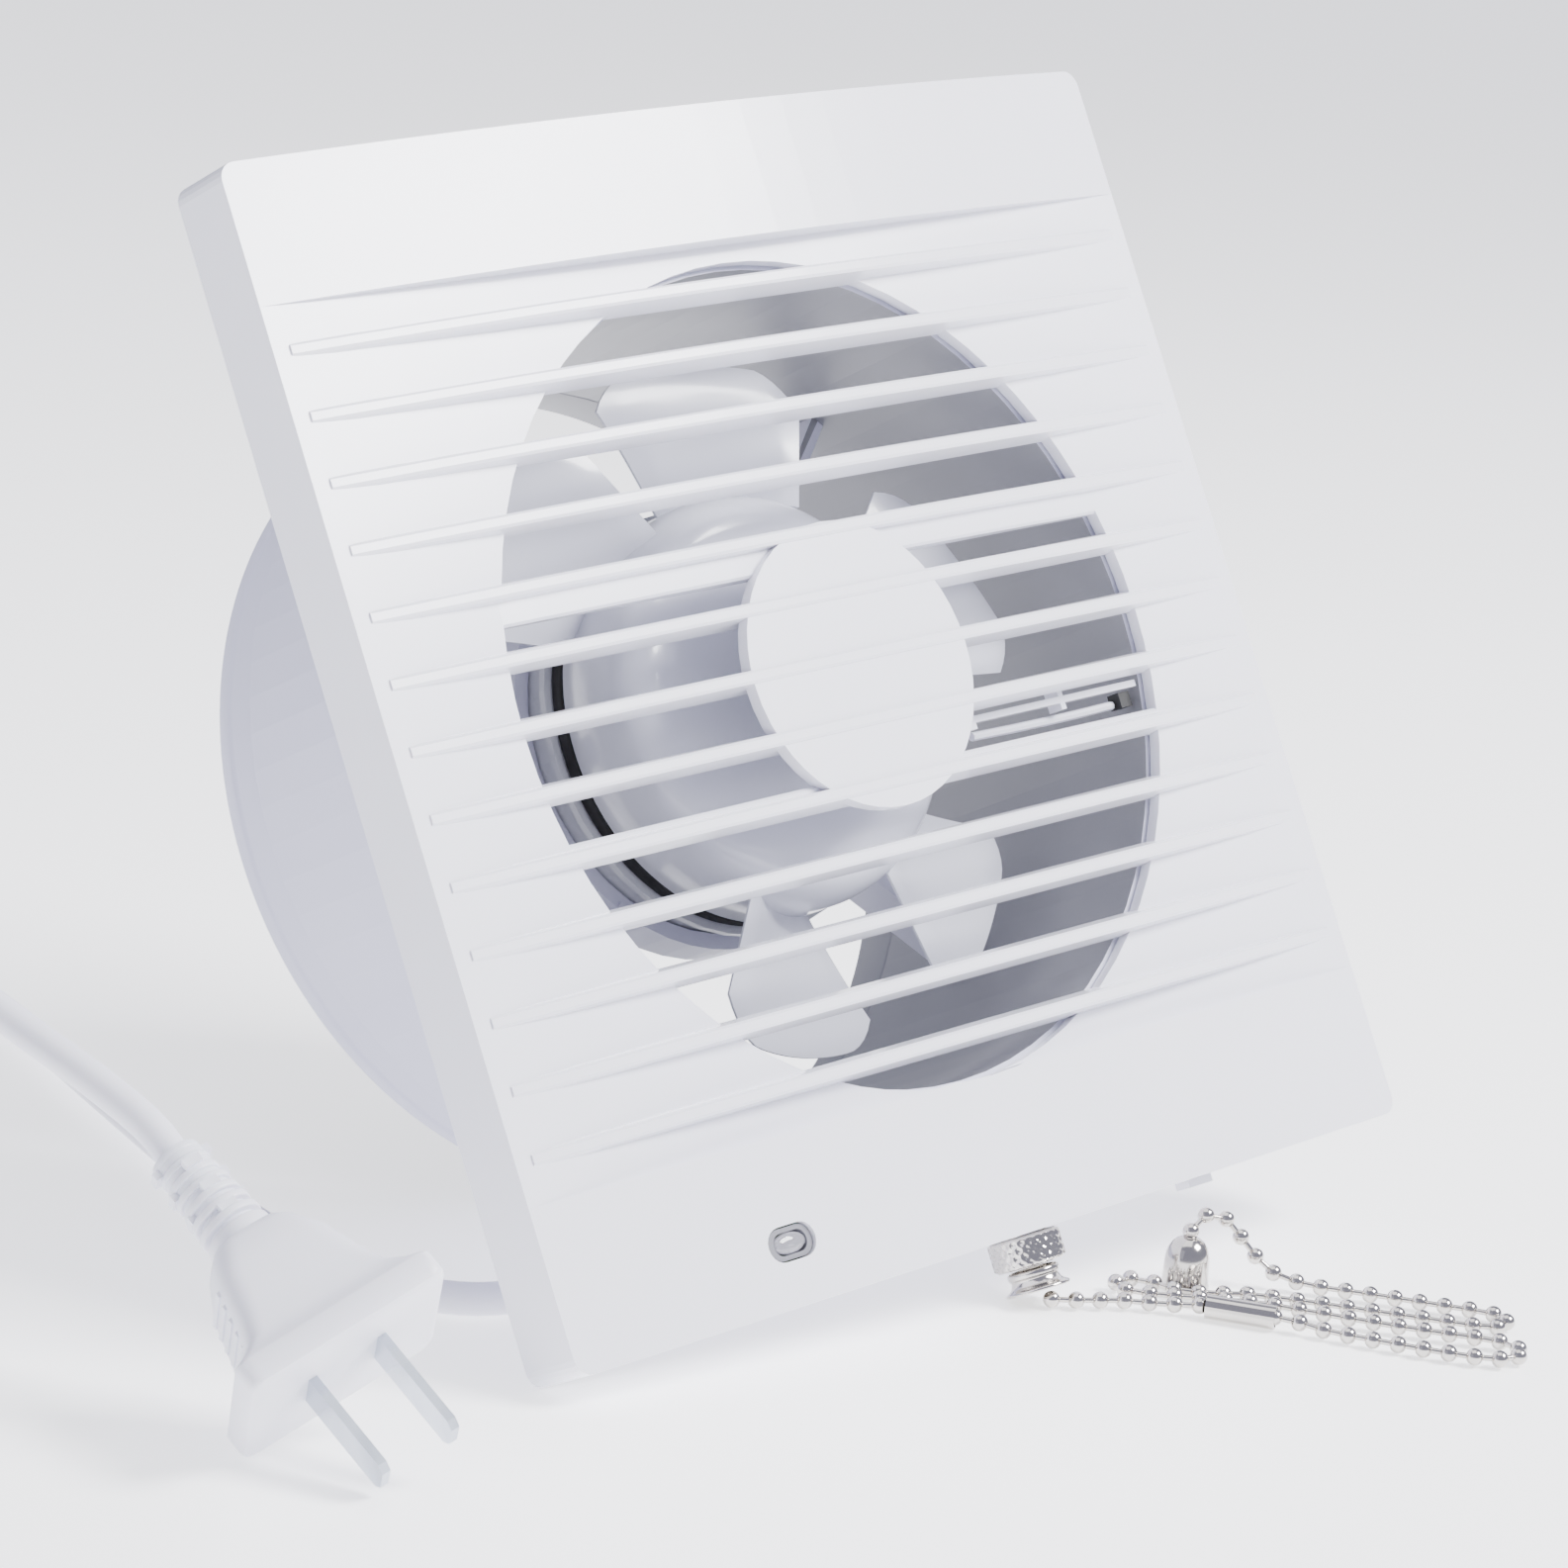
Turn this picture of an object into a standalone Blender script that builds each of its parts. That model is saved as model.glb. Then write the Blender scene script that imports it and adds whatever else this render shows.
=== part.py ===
"""Plug-in bathroom extractor fan, modelled as separate solids in one frame.

Lengths are written in millimetres and turned into metres by MM. The fan is built
upright in its own axes (X right, Y towards the duct outlet, Z up, origin in the
middle of the front cover) under one parent empty. The empty then leans the fan back
onto its three real contacts: a bottom corner of the cover, the mouth of the pull
switch and the lowest point of the duct's rear rim.
"""
import math

import bmesh
import bpy
import numpy as np
from mathutils import Matrix, Vector

MM = 0.001

# ---- driving dimensions -------------------------------------------------------
COVER = 200.0          # square front cover, edge to edge
COVER_DEPTH = 12.5     # side walls of the cover
WALL = 2.2             # moulded wall
BULGE = 5.0            # rise of the curved front face at mid width
CORNER_R = 3.0         # plan radius of the cover's corners
PLATE = 2.4            # flat grille plate
RECESS_TOP = 76.0
RECESS_BOTTOM = -72.5
OPENING_R = 73.0
RIB_COUNT = 13
RIB_TOP_Z = 68.4
RIB_PITCH = 11.14
RIB_FRONT = 2.2
RIB_BACK = 3.8
RIB_REAR_Y = 1.8
BOSS_R = 25.2
DUCT_R = 74.5
DUCT_WALL = 2.2
DUCT_END = 80.0
SPLIT_Y = 70.5         # where the outlet ring starts
PLATE_BACK_Y = 10.0    # front face of the housing's flange plate
HUB_R = 37.0
HUB_FRONT_Y = 13.0
HUB_REAR_Y = 31.4
BLADE_LEADS = (62.0, 118.0, 238.0, 289.0, 356.0)
BLADE_TIP_R = 62.0
SHAFT_R = 3.0
SWITCH_X = 6.3
SWITCH_Y = 6.0
MOUTH_Z = -110.2
MOUTH_R = 5.7
LED_X = -52.6
LED_Z = -89.6
GLAND_X = 62.0
GLAND_Z = -84.0
CORD_D = 5.6
CHAIN_D = 3.0
GAP = 0.3

# ---- scene set-up -------------------------------------------------------------
for old in list(bpy.data.objects):
    bpy.data.objects.remove(old, do_unlink=True)
PARTS = bpy.data.collections.new("bathroom_extractor_fan")
CUTTERS = bpy.data.collections.new("cutters")
bpy.context.scene.collection.children.link(PARTS)
bpy.context.scene.collection.children.link(CUTTERS)
ROOT = bpy.data.objects.new("fan_stance", None)
PARTS.objects.link(ROOT)


def material(name, rgb, metallic=0.0, roughness=0.4, alpha=1.0):
    mat = bpy.data.materials.new(name)
    mat.use_nodes = True
    shader = mat.node_tree.nodes["Principled BSDF"]
    shader.inputs["Base Color"].default_value = (*rgb, 1.0)
    shader.inputs["Metallic"].default_value = metallic
    shader.inputs["Roughness"].default_value = roughness
    shader.inputs["Alpha"].default_value = alpha
    mat.diffuse_color = (*rgb, alpha)
    return mat


# ---- mesh helpers -------------------------------------------------------------
def to_mesh(bm, name):
    bmesh.ops.recalc_face_normals(bm, faces=bm.faces[:])
    mesh = bpy.data.meshes.new(name)
    bm.to_mesh(mesh)
    bm.free()
    return mesh


def loft(rings, name="loft"):
    """Closed solid through equal-length rings of points, capped at both ends."""
    bm = bmesh.new()
    rows = [[bm.verts.new(Vector(p) * MM) for p in ring] for ring in rings]
    count = len(rows[0])
    for a, b in zip(rows[:-1], rows[1:]):
        for i in range(count):
            j = (i + 1) % count
            bm.faces.new((a[i], a[j], b[j], b[i]))
    bm.faces.new(rows[0][::-1])
    bm.faces.new(rows[-1])
    return to_mesh(bm, name)


def prism(points, low, high, axis="Y", name="prism"):
    """Flat outline drawn as a 2D curve, given thickness from low to high."""
    curve = bpy.data.curves.new(name, "CURVE")
    curve.dimensions = "2D"
    curve.fill_mode = "BOTH"
    curve.extrude = 0.5 * (high - low) * MM
    spline = curve.splines.new("POLY")
    spline.points.add(len(points) - 1)
    for knot, (u, v) in zip(spline.points, points):
        knot.co = (u * MM, v * MM, 0.0, 1.0)
    spline.use_cyclic_u = True
    holder = bpy.data.objects.new(name, curve)
    CUTTERS.objects.link(holder)
    graph = bpy.context.evaluated_depsgraph_get()
    mesh = bpy.data.meshes.new_from_object(holder.evaluated_get(graph))
    bpy.data.objects.remove(holder, do_unlink=True)
    bm = bmesh.new()
    bm.from_mesh(mesh)
    bmesh.ops.remove_doubles(bm, verts=bm.verts[:], dist=1e-6)
    middle = 0.5 * (low + high) * MM
    bmesh.ops.translate(bm, verts=bm.verts[:], vec=(0.0, 0.0, middle))
    turn = {
        "Z": Matrix.Identity(4),
        "Y": Matrix(((1, 0, 0, 0), (0, 0, 1, 0), (0, 1, 0, 0), (0, 0, 0, 1))),
        "X": Matrix(((0, 0, 1, 0), (1, 0, 0, 0), (0, 1, 0, 0), (0, 0, 0, 1))),
    }[axis]
    bmesh.ops.transform(bm, matrix=turn, verts=bm.verts[:])
    bpy.data.meshes.remove(mesh)
    return to_mesh(bm, name)


def block(low, high, name="block"):
    bm = bmesh.new()
    bmesh.ops.create_cube(bm, size=1.0)
    size = [(b - a) * MM for a, b in zip(low, high)]
    middle = [0.5 * (a + b) * MM for a, b in zip(low, high)]
    bmesh.ops.scale(bm, vec=size, verts=bm.verts[:])
    bmesh.ops.translate(bm, vec=middle, verts=bm.verts[:])
    return to_mesh(bm, name)


def rod(radius, low, high, centre=(0.0, 0.0), axis="Y", sides=32, radius_end=None, name="rod"):
    bm = bmesh.new()
    end = radius if radius_end is None else radius_end
    bmesh.ops.create_cone(bm, cap_ends=True, segments=sides, radius1=radius * MM,
                          radius2=end * MM, depth=(high - low) * MM)
    bmesh.ops.translate(bm, vec=(0, 0, 0.5 * (low + high) * MM), verts=bm.verts[:])
    if axis == "Y":
        bmesh.ops.rotate(bm, cent=(0, 0, 0), matrix=Matrix.Rotation(-math.pi / 2, 3, "X"), verts=bm.verts[:])
        shift = (centre[0] * MM, 0, centre[1] * MM)
    elif axis == "X":
        bmesh.ops.rotate(bm, cent=(0, 0, 0), matrix=Matrix.Rotation(math.pi / 2, 3, "Y"), verts=bm.verts[:])
        shift = (0, centre[0] * MM, centre[1] * MM)
    else:
        shift = (centre[0] * MM, centre[1] * MM, 0)
    bmesh.ops.translate(bm, vec=shift, verts=bm.verts[:])
    return to_mesh(bm, name)


def turned(profile, steps=64, axis="Y", centre=(0.0, 0.0), closed=True, name="turned"):
    """Profile of (radius, height) pairs turned by a Screw modifier."""
    mesh = bpy.data.meshes.new(name)
    verts = [(r * MM, 0.0, h * MM) for r, h in profile]
    edges = [(i, i + 1) for i in range(len(verts) - 1)]
    if closed:
        edges.append((len(verts) - 1, 0))
    mesh.from_pydata(verts, edges, [])
    holder = bpy.data.objects.new(name, mesh)
    CUTTERS.objects.link(holder)
    screw = holder.modifiers.new("turn", "SCREW")
    screw.steps = steps
    screw.render_steps = steps
    screw.use_merge_vertices = True
    screw.merge_threshold = 0.00001
    graph = bpy.context.evaluated_depsgraph_get()
    result = bpy.data.meshes.new_from_object(holder.evaluated_get(graph))
    bpy.data.objects.remove(holder, do_unlink=True)
    bm = bmesh.new()
    bm.from_mesh(result)
    bmesh.ops.remove_doubles(bm, verts=bm.verts[:], dist=1e-6)
    if axis == "Y":
        bmesh.ops.rotate(bm, cent=(0, 0, 0), matrix=Matrix.Rotation(-math.pi / 2, 3, "X"), verts=bm.verts[:])
        shift = (centre[0] * MM, 0, centre[1] * MM)
    else:
        shift = (centre[0] * MM, centre[1] * MM, 0)
    bmesh.ops.translate(bm, vec=shift, verts=bm.verts[:])
    bpy.data.meshes.remove(result)
    return to_mesh(bm, name)


def tube(points, diameter, name="tube"):
    curve = bpy.data.curves.new(name, "CURVE")
    curve.dimensions = "3D"
    curve.bevel_depth = 0.5 * diameter * MM
    curve.bevel_resolution = 2
    curve.use_fill_caps = True
    spline = curve.splines.new("POLY")
    spline.points.add(len(points) - 1)
    for knot, p in zip(spline.points, points):
        knot.co = (p[0] * MM, p[1] * MM, p[2] * MM, 1.0)
    holder = bpy.data.objects.new(name, curve)
    CUTTERS.objects.link(holder)
    graph = bpy.context.evaluated_depsgraph_get()
    mesh = bpy.data.meshes.new_from_object(holder.evaluated_get(graph))
    bpy.data.objects.remove(holder, do_unlink=True)
    bm = bmesh.new()
    bm.from_mesh(mesh)
    bmesh.ops.remove_doubles(bm, verts=bm.verts[:], dist=1e-6)
    bpy.data.meshes.remove(mesh)
    return to_mesh(bm, name)


def round_rect(wide, high, radius, centre=(0.0, 0.0), steps=5):
    points = []
    corners = ((1, 1, 0), (-1, 1, 90), (-1, -1, 180), (1, -1, 270))
    for sx, sz, start in corners:
        cx = centre[0] + sx * (0.5 * wide - radius)
        cz = centre[1] + sz * (0.5 * high - radius)
        for k in range(steps + 1):
            a = math.radians(start + 90.0 * k / steps)
            points.append((cx + radius * math.cos(a), cz + radius * math.sin(a)))
    return points


def cutter(mesh, name="cutter"):
    holder = bpy.data.objects.new(name, mesh)
    CUTTERS.objects.link(holder)
    holder.hide_render = True
    holder.display_type = "WIRE"
    return holder


def boolean(mesh, tools, operation, name="bool"):
    """Mesh after one exact Boolean per tool mesh."""
    holder = bpy.data.objects.new(name, mesh)
    CUTTERS.objects.link(holder)
    held = []
    for tool in tools:
        item = cutter(tool)
        held.append(item)
        step = holder.modifiers.new("cut", "BOOLEAN")
        step.object = item
        step.operation = operation
        step.solver = "EXACT"
    graph = bpy.context.evaluated_depsgraph_get()
    result = bpy.data.meshes.new_from_object(holder.evaluated_get(graph))
    for item in held + [holder]:
        bpy.data.objects.remove(item, do_unlink=True)
    return result


def join(mesh, tools):
    return boolean(mesh, tools, "UNION")


def cut(mesh, tools):
    return boolean(mesh, tools, "DIFFERENCE")


def bevelled(mesh, width, segments=2, angle=35.0):
    holder = bpy.data.objects.new("bevel", mesh)
    CUTTERS.objects.link(holder)
    step = holder.modifiers.new("bevel", "BEVEL")
    step.width = width * MM
    step.segments = segments
    step.limit_method = "ANGLE"
    step.angle_limit = math.radians(angle)
    graph = bpy.context.evaluated_depsgraph_get()
    result = bpy.data.meshes.new_from_object(holder.evaluated_get(graph))
    bpy.data.objects.remove(holder, do_unlink=True)
    return result


def place(name, mesh, mat, origin=(0.0, 0.0, 0.0), parent=ROOT, smooth=35.0):
    """Named object whose mesh is drawn in the fan's axes, with its own origin."""
    mesh.name = name
    start = Vector(origin) * MM
    mesh.transform(Matrix.Translation(-start))
    mesh.materials.clear()
    mesh.materials.append(mat)
    item = bpy.data.objects.new(name, mesh)
    PARTS.objects.link(item)
    item.parent = parent
    item.location = start
    mesh.shade_smooth()
    bm = bmesh.new()
    bm.from_mesh(mesh)
    limit = math.radians(smooth)
    for edge in bm.edges:
        sharp = len(edge.link_faces) != 2 or edge.calc_face_angle(0.0) > limit
        edge.smooth = not sharp
    bm.to_mesh(mesh)
    bm.free()
    return item


def bow(x):
    """Front surface of the curved cover at width x."""
    return -BULGE * (1.0 - (x / (0.5 * COVER)) ** 2)


# ---- materials ----------------------------------------------------------------
WHITE = (0.88, 0.88, 0.93)
ABS_COVER = material("abs_cover", WHITE, roughness=0.28)
ABS_HOUSING = material("abs_housing", (0.84, 0.85, 0.92), roughness=0.32)
ABS_IMPELLER = material("abs_impeller", (0.80, 0.82, 0.90), roughness=0.25)
ABS_MOTOR = material("abs_motor_cup", (0.82, 0.83, 0.89), roughness=0.3)
NICKEL = material("nickel_plate", (0.66, 0.65, 0.64), 1.0, 0.16)
STEEL = material("zinc_plated_steel", (0.60, 0.61, 0.63), 1.0, 0.3)
LAMINATION = material("lamination_steel", (0.30, 0.31, 0.33), 1.0, 0.45)
COPPER = material("enamelled_copper", (0.62, 0.24, 0.10), 1.0, 0.35)
BRONZE = material("sintered_bronze", (0.50, 0.33, 0.16), 1.0, 0.5)
NYLON = material("nylon_bobbin", (0.86, 0.84, 0.78), roughness=0.45)
RUBBER = material("nitrile_rubber", (0.012, 0.012, 0.013), roughness=0.6)
SMOKE = material("grey_polycarbonate", (0.20, 0.20, 0.22), roughness=0.3)
CLEAR = material("clear_polycarbonate", (0.80, 0.80, 0.84), roughness=0.08, alpha=0.35)
PVC = material("white_pvc", (0.83, 0.83, 0.90), roughness=0.42)
BLACK_PVC = material("black_pvc", (0.02, 0.02, 0.02), roughness=0.5)
PHENOLIC = material("phenolic_board", (0.16, 0.28, 0.12), roughness=0.5)

# ---- front cover with its grille ------------------------------------------------
HALF = 0.5 * COVER
arc_x = [-HALF + COVER * i / 20 for i in range(21)]
outer = [(x, bow(x)) for x in arc_x] + [(HALF, COVER_DEPTH + 4.0), (-HALF, COVER_DEPTH + 4.0)]
shell = prism(outer, -HALF, HALF, "Z")
plan = prism(round_rect(COVER, COVER, CORNER_R), -20.0, 40.0, "Y")
shell = boolean(shell, [plan], "INTERSECT")
shell = bevelled(shell, 1.6, 2, 50.0)
inner_half = HALF - WALL
cavity = prism(round_rect(2 * inner_half, 2 * inner_half, 1.2), PLATE, 40.0, "Y")
trim = block((-120, COVER_DEPTH, -120), (120, 60, 120))


def pocket(low, high):
    xs = [-inner_half + 2 * inner_half * i / 16 for i in range(17)]
    edge = [(x, bow(x) + WALL) for x in xs] + [(inner_half, 6.0), (-inner_half, 6.0)]
    return prism(edge, low, high, "Z")


recess = block((-120, -20, RECESS_BOTTOM), (120, 0.0, RECESS_TOP))
hole = rod(OPENING_R, -30, 30, sides=72)
cover = cut(shell, [trim, cavity, pocket(RECESS_TOP + 3.0, inner_half),
                    pocket(-inner_half, RECESS_BOTTOM - 3.0), recess, hole])


def rib(z, front=RIB_FRONT, back=RIB_BACK, low_z=None, high_z=None, lift=0.0, reach=96.5):
    """One bar that follows the curved front face and is wider at its root."""
    rings = []
    for i in range(15):
        x = -reach + 2 * reach * i / 14
        y0 = bow(x) + lift
        y1 = RIB_REAR_Y
        top0 = z + 0.5 * front if high_z is None else high_z
        low0 = z - 0.5 * front if low_z is None else low_z
        top1 = z + 0.5 * back if high_z is None else high_z
        low1 = z - 0.5 * back if low_z is None else low_z
        ring = [(x, y0 + 0.5, low0), (x, y0, low0 + 0.45), (x, y0, top0 - 0.45),
                (x, y0 + 0.5, top0), (x, y1, top1), (x, y1, low1)]
        rings.append(ring)
    return loft(rings)


rib_z = [RIB_TOP_Z - RIB_PITCH * k for k in range(RIB_COUNT)]
ribs = [rib(z) for z in rib_z]
upper_bar = rib(0, low_z=18.3, high_z=rib_z[4] + 0.6, lift=2.5, reach=74.0)
lower_bar = rib(0, low_z=rib_z[8] - 0.6, high_z=-18.3, lift=2.5, reach=74.0)
disc = rod(BOSS_R, -12, 6, sides=48)
disc_x = [-30 + 60 * i / 10 for i in range(11)]
band = [(x, bow(x) + 0.7) for x in disc_x] + [(x, bow(x) + 3.1) for x in reversed(disc_x)]
disc = boolean(disc, [prism(band, -40, 40, "Z")], "INTERSECT")
cover = join(cover, ribs + [upper_bar, lower_bar, disc])
led_hole = prism(round_rect(10.0, 5.8, 2.85, (LED_X, LED_Z)), -20, 3, "Y")
switch_hole = rod(4.7, -104, -94, (SWITCH_X, SWITCH_Y), "Z", 32)
clip_slot = block((51.0, 8.6, -104), (59.0, 10.4, -94))
cover = cut(cover, [led_hole, switch_hole, clip_slot])
place("front_grille", cover, ABS_COVER)

# ---- status lamp ---------------------------------------------------------------
led_front = bow(LED_X)
bezel = prism(round_rect(9.5, 5.3, 2.6, (LED_X, LED_Z)), led_front + 0.5, led_front + 4.2, "Y")
bezel = cut(bezel, [prism(round_rect(7.3, 3.7, 1.8, (LED_X, LED_Z)), -20, 20, "Y")])
place("led_bezel", bezel, SMOKE, (LED_X, led_front, LED_Z))
lens = turned([(0.0, -1.4), (0.7, -1.25), (1.2, -0.85), (1.5, -0.2), (1.5, 3.6), (0.0, 3.6)],
              24, closed=False)
lens.transform(Matrix.Translation(Vector((LED_X, led_front + 2.1, LED_Z)) * MM))
place("led_lens", lens, CLEAR, (LED_X, led_front, LED_Z))
board = block((LED_X - 8, led_front + 6.3, LED_Z - 5), (LED_X + 8, led_front + 7.9, LED_Z + 5))
place("led_board", board, PHENOLIC, (LED_X, led_front, LED_Z))

# ---- rear housing: flange plate, duct, struts and motor ring ---------------------
flange_half = HALF - WALL - GAP
flange = prism(round_rect(2 * flange_half, 2 * flange_half, 1.2), PLATE_BACK_Y, PLATE_BACK_Y + 2.4, "Y")
duct = turned([(DUCT_R, 2.8), (DUCT_R, SPLIT_Y), (DUCT_R - DUCT_WALL, SPLIT_Y),
               (DUCT_R - DUCT_WALL, 2.8)], 72)
ring = turned([(39.2, 42.0), (39.2, 50.0), (36.4, 50.0), (36.4, 42.0)], 48)
struts = []
ears = []
for k in range(4):
    angle = math.radians(45 + 90 * k)
    strut = block((38.0, 41.5, -1.4), (DUCT_R - 1.2, 51.0, 1.4))
    strut.transform(Matrix.Rotation(-angle, 4, "Y"))
    struts.append(strut)
for sx in (-1, 1):
    ears.append(rod(4.2, 42.0, 50.0, (sx * 42.6, 0.0), sides=24))
plate_hole = rod(DUCT_R - 0.8, 0, 30, sides=72)
flange = cut(flange, [plate_hole])
housing = join(flange, [duct, ring] + struts + ears)
pilot = [rod(1.7, 44.0, 60.0, (sx * 42.6, 0.0), sides=16) for sx in (-1, 1)]
corners = [(sx * 86.0, sz * 86.0) for sx in (-1, 1) for sz in (-1, 1)]
corner_holes = [rod(2.3, 0, 30, at, sides=24) for at in corners] + [rod(4.4, 10.8, 30, at, sides=24) for at in corners]
gland_hole = rod(4.2, 5, 20, (GLAND_X, GLAND_Z), sides=24)
switch_notch = block((SWITCH_X - 6, 5, -110), (SWITCH_X + 6, 20, -95.4))
housing = cut(housing, pilot + corner_holes + [gland_hole, switch_notch])
place("rear_housing", housing, ABS_HOUSING)

outlet = turned([(DUCT_R - 0.5, SPLIT_Y + GAP), (DUCT_R - 0.5, DUCT_END - 3.2), (DUCT_R, DUCT_END - 2.8),
                 (DUCT_R, DUCT_END), (DUCT_R - DUCT_WALL, DUCT_END),
                 (DUCT_R - DUCT_WALL, SPLIT_Y + GAP)], 72)
place("outlet_ring", outlet, ABS_HOUSING)

# ---- motor cup, its seal and its screws ------------------------------------------
cup = turned([(38.2, 35.0), (38.2, 36.4), (36.0, 37.6), (36.0, 52.6), (32.5, 57.0), (0.0, 58.4),
              (0.0, 56.4), (31.6, 55.0), (34.0, 51.8), (34.0, 35.0)], 40, closed=True)
lugs = []
for sx in (-1, 1):
    lugs.append(rod(4.2, 50.4, 52.4, (sx * 42.6, 0.0), sides=24))
    lugs.append(block((min(sx * 35.2, sx * 42.6), 50.4, -4.0), (max(sx * 35.2, sx * 42.6), 52.4, 4.0)))
posts = [rod(4.0, 44.6, 56.0, (sx * 17.0, 6.0), sides=24) for sx in (-1, 1)]
cup = join(cup, lugs + posts)
cup = cut(cup, [rod(1.9, 40, 60, (sx * 42.6, 0.0), sides=16) for sx in (-1, 1)]
          + [rod(2.0, 40, 54, (sx * 17.0, 6.0), sides=16) for sx in (-1, 1)]
          + [rod(1.6, 48, 60, (0.0, -24.0), sides=16)])
place("motor_cup", cup, ABS_MOTOR)
seal = turned([(36.9, 31.8), (36.9, 34.7), (34.4, 34.7), (34.4, 31.8)], 48)
place("motor_seal_ring", seal, RUBBER)


def screw(radius, head_radius, head_low, head_high, tip, centre, slot=True):
    """Pan-head screw along Y: the head lies between two heights, the tip at a third."""
    root = 0.6 * head_low + 0.4 * head_high
    shank = rod(radius, min(root, tip), max(root, tip), centre, sides=16)
    head = rod(head_radius, min(head_low, head_high), max(head_low, head_high), centre, sides=24)
    body = join(head, [shank])
    if not slot:
        return body
    out = 1 if head_high > head_low else -1
    deep = sorted((head_high - 0.7 * out, head_high + 1.0 * out))
    arm = 0.62 * head_radius
    bars = [block((centre[0] - arm, deep[0], centre[1] - 0.4), (centre[0] + arm, deep[1], centre[1] + 0.4)),
            block((centre[0] - 0.4, deep[0], centre[1] - arm), (centre[0] + 0.4, deep[1], centre[1] + arm))]
    return cut(body, bars)


for k, sx in enumerate((-1, 1)):
    place("cup_screw_%d" % (k + 1), screw(1.4, 3.2, 52.7, 55.0, 46.0, (sx * 42.6, 0.0)), STEEL,
          (sx * 42.6, 52.7, 0.0))

# ---- shaded-pole motor ----------------------------------------------------------
frame_outline = [(-20.5, 18), (-20.5, -26.2), (20.5, -26.2), (20.5, 18)]
core = prism(frame_outline, 27.0, 41.0, "Y")
window = block((-12.8, 20, -18.8), (12.8, 50, -14.6))
core = cut(core, [rod(12.7, 20, 50, sides=48), window]
           + [rod(1.9, 20, 50, (sx * 17.0, 6.0), sides=16) for sx in (-1, 1)])
place("stator_core", core, LAMINATION)
bobbin = block((-12.4, 25.4, -27.8), (12.4, 42.6, -17.4))
flanges = [block((-12.4 if sx < 0 else 10.8, 22.6, -31.0),
                 (-10.8 if sx < 0 else 12.4, 45.4, -15.0)) for sx in (-1, 1)]
bobbin = join(bobbin, flanges)
bobbin = cut(bobbin, [block((-20, 26.7, -26.5), (20, 41.3, -18.5))])
place("coil_bobbin", bobbin, NYLON)
coil = prism(round_rect(22.0, 14.6, 3.0, (34.0, -22.8)), -10.4, 10.4, "X")
coil = cut(coil, [block((-20, 25.1, -28.1), (20, 42.9, -17.1))])
place("stator_coil", coil, COPPER)
rotor = cut(rod(12.2, 26.6, 41.4, sides=48), [rod(SHAFT_R + 0.25, 20, 50, sides=32)])
place("rotor", rotor, LAMINATION)
shaft = rod(SHAFT_R, 8.4, 49.6, sides=32)
place("motor_shaft", shaft, STEEL)
for label, low, high, nose_low, nose_high in (("front", 24.2, 26.3, 20.4, 24.2), ("rear", 41.8, 44.2, 44.2, 48.4)):
    bar = prism(round_rect(42.0, 13.0, 6.0, (0.0, 3.0)), low, high, "Y")
    nose = rod(8.2, min(low, nose_low), max(high, nose_high), sides=24)
    holes = [rod(5.9, 10, 60, sides=24)] + [rod(1.9, 10, 60, (sx * 17.0, 6.0), sides=12) for sx in (-1, 1)]
    place("bearing_bracket_" + label, cut(join(bar, [nose]), holes), STEEL)
    bush = cut(rod(5.6, nose_low if label == "front" else low, high if label == "front" else nose_high, sides=32),
               [rod(SHAFT_R + 0.05, 10, 60, sides=32)])
    place("bearing_" + label, bush, BRONZE)
for k, sx in enumerate((-1, 1)):
    place("motor_screw_%d" % (k + 1), screw(1.6, 3.0, 23.9, 22.2, 52.0, (sx * 17.0, 6.0)), STEEL,
          (sx * 17.0, 23.9, 6.0))

# ---- impeller: cup-shaped hub with five unevenly spaced blades --------------------------------------
hub = turned([(3.3, HUB_FRONT_Y), (14.0, HUB_FRONT_Y), (30.0, HUB_FRONT_Y + 0.9), (33.4, HUB_FRONT_Y + 2.0),
              (35.6, HUB_FRONT_Y + 4.0), (36.7, HUB_FRONT_Y + 6.6), (HUB_R, HUB_FRONT_Y + 9.0),
              (HUB_R, HUB_REAR_Y), (35.0, HUB_REAR_Y), (35.0, HUB_FRONT_Y + 6.0), (32.6, HUB_FRONT_Y + 3.2),
              (7.5, HUB_FRONT_Y + 2.4), (7.5, HUB_FRONT_Y + 6.4), (3.3, HUB_FRONT_Y + 6.4)], 48)


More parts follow.
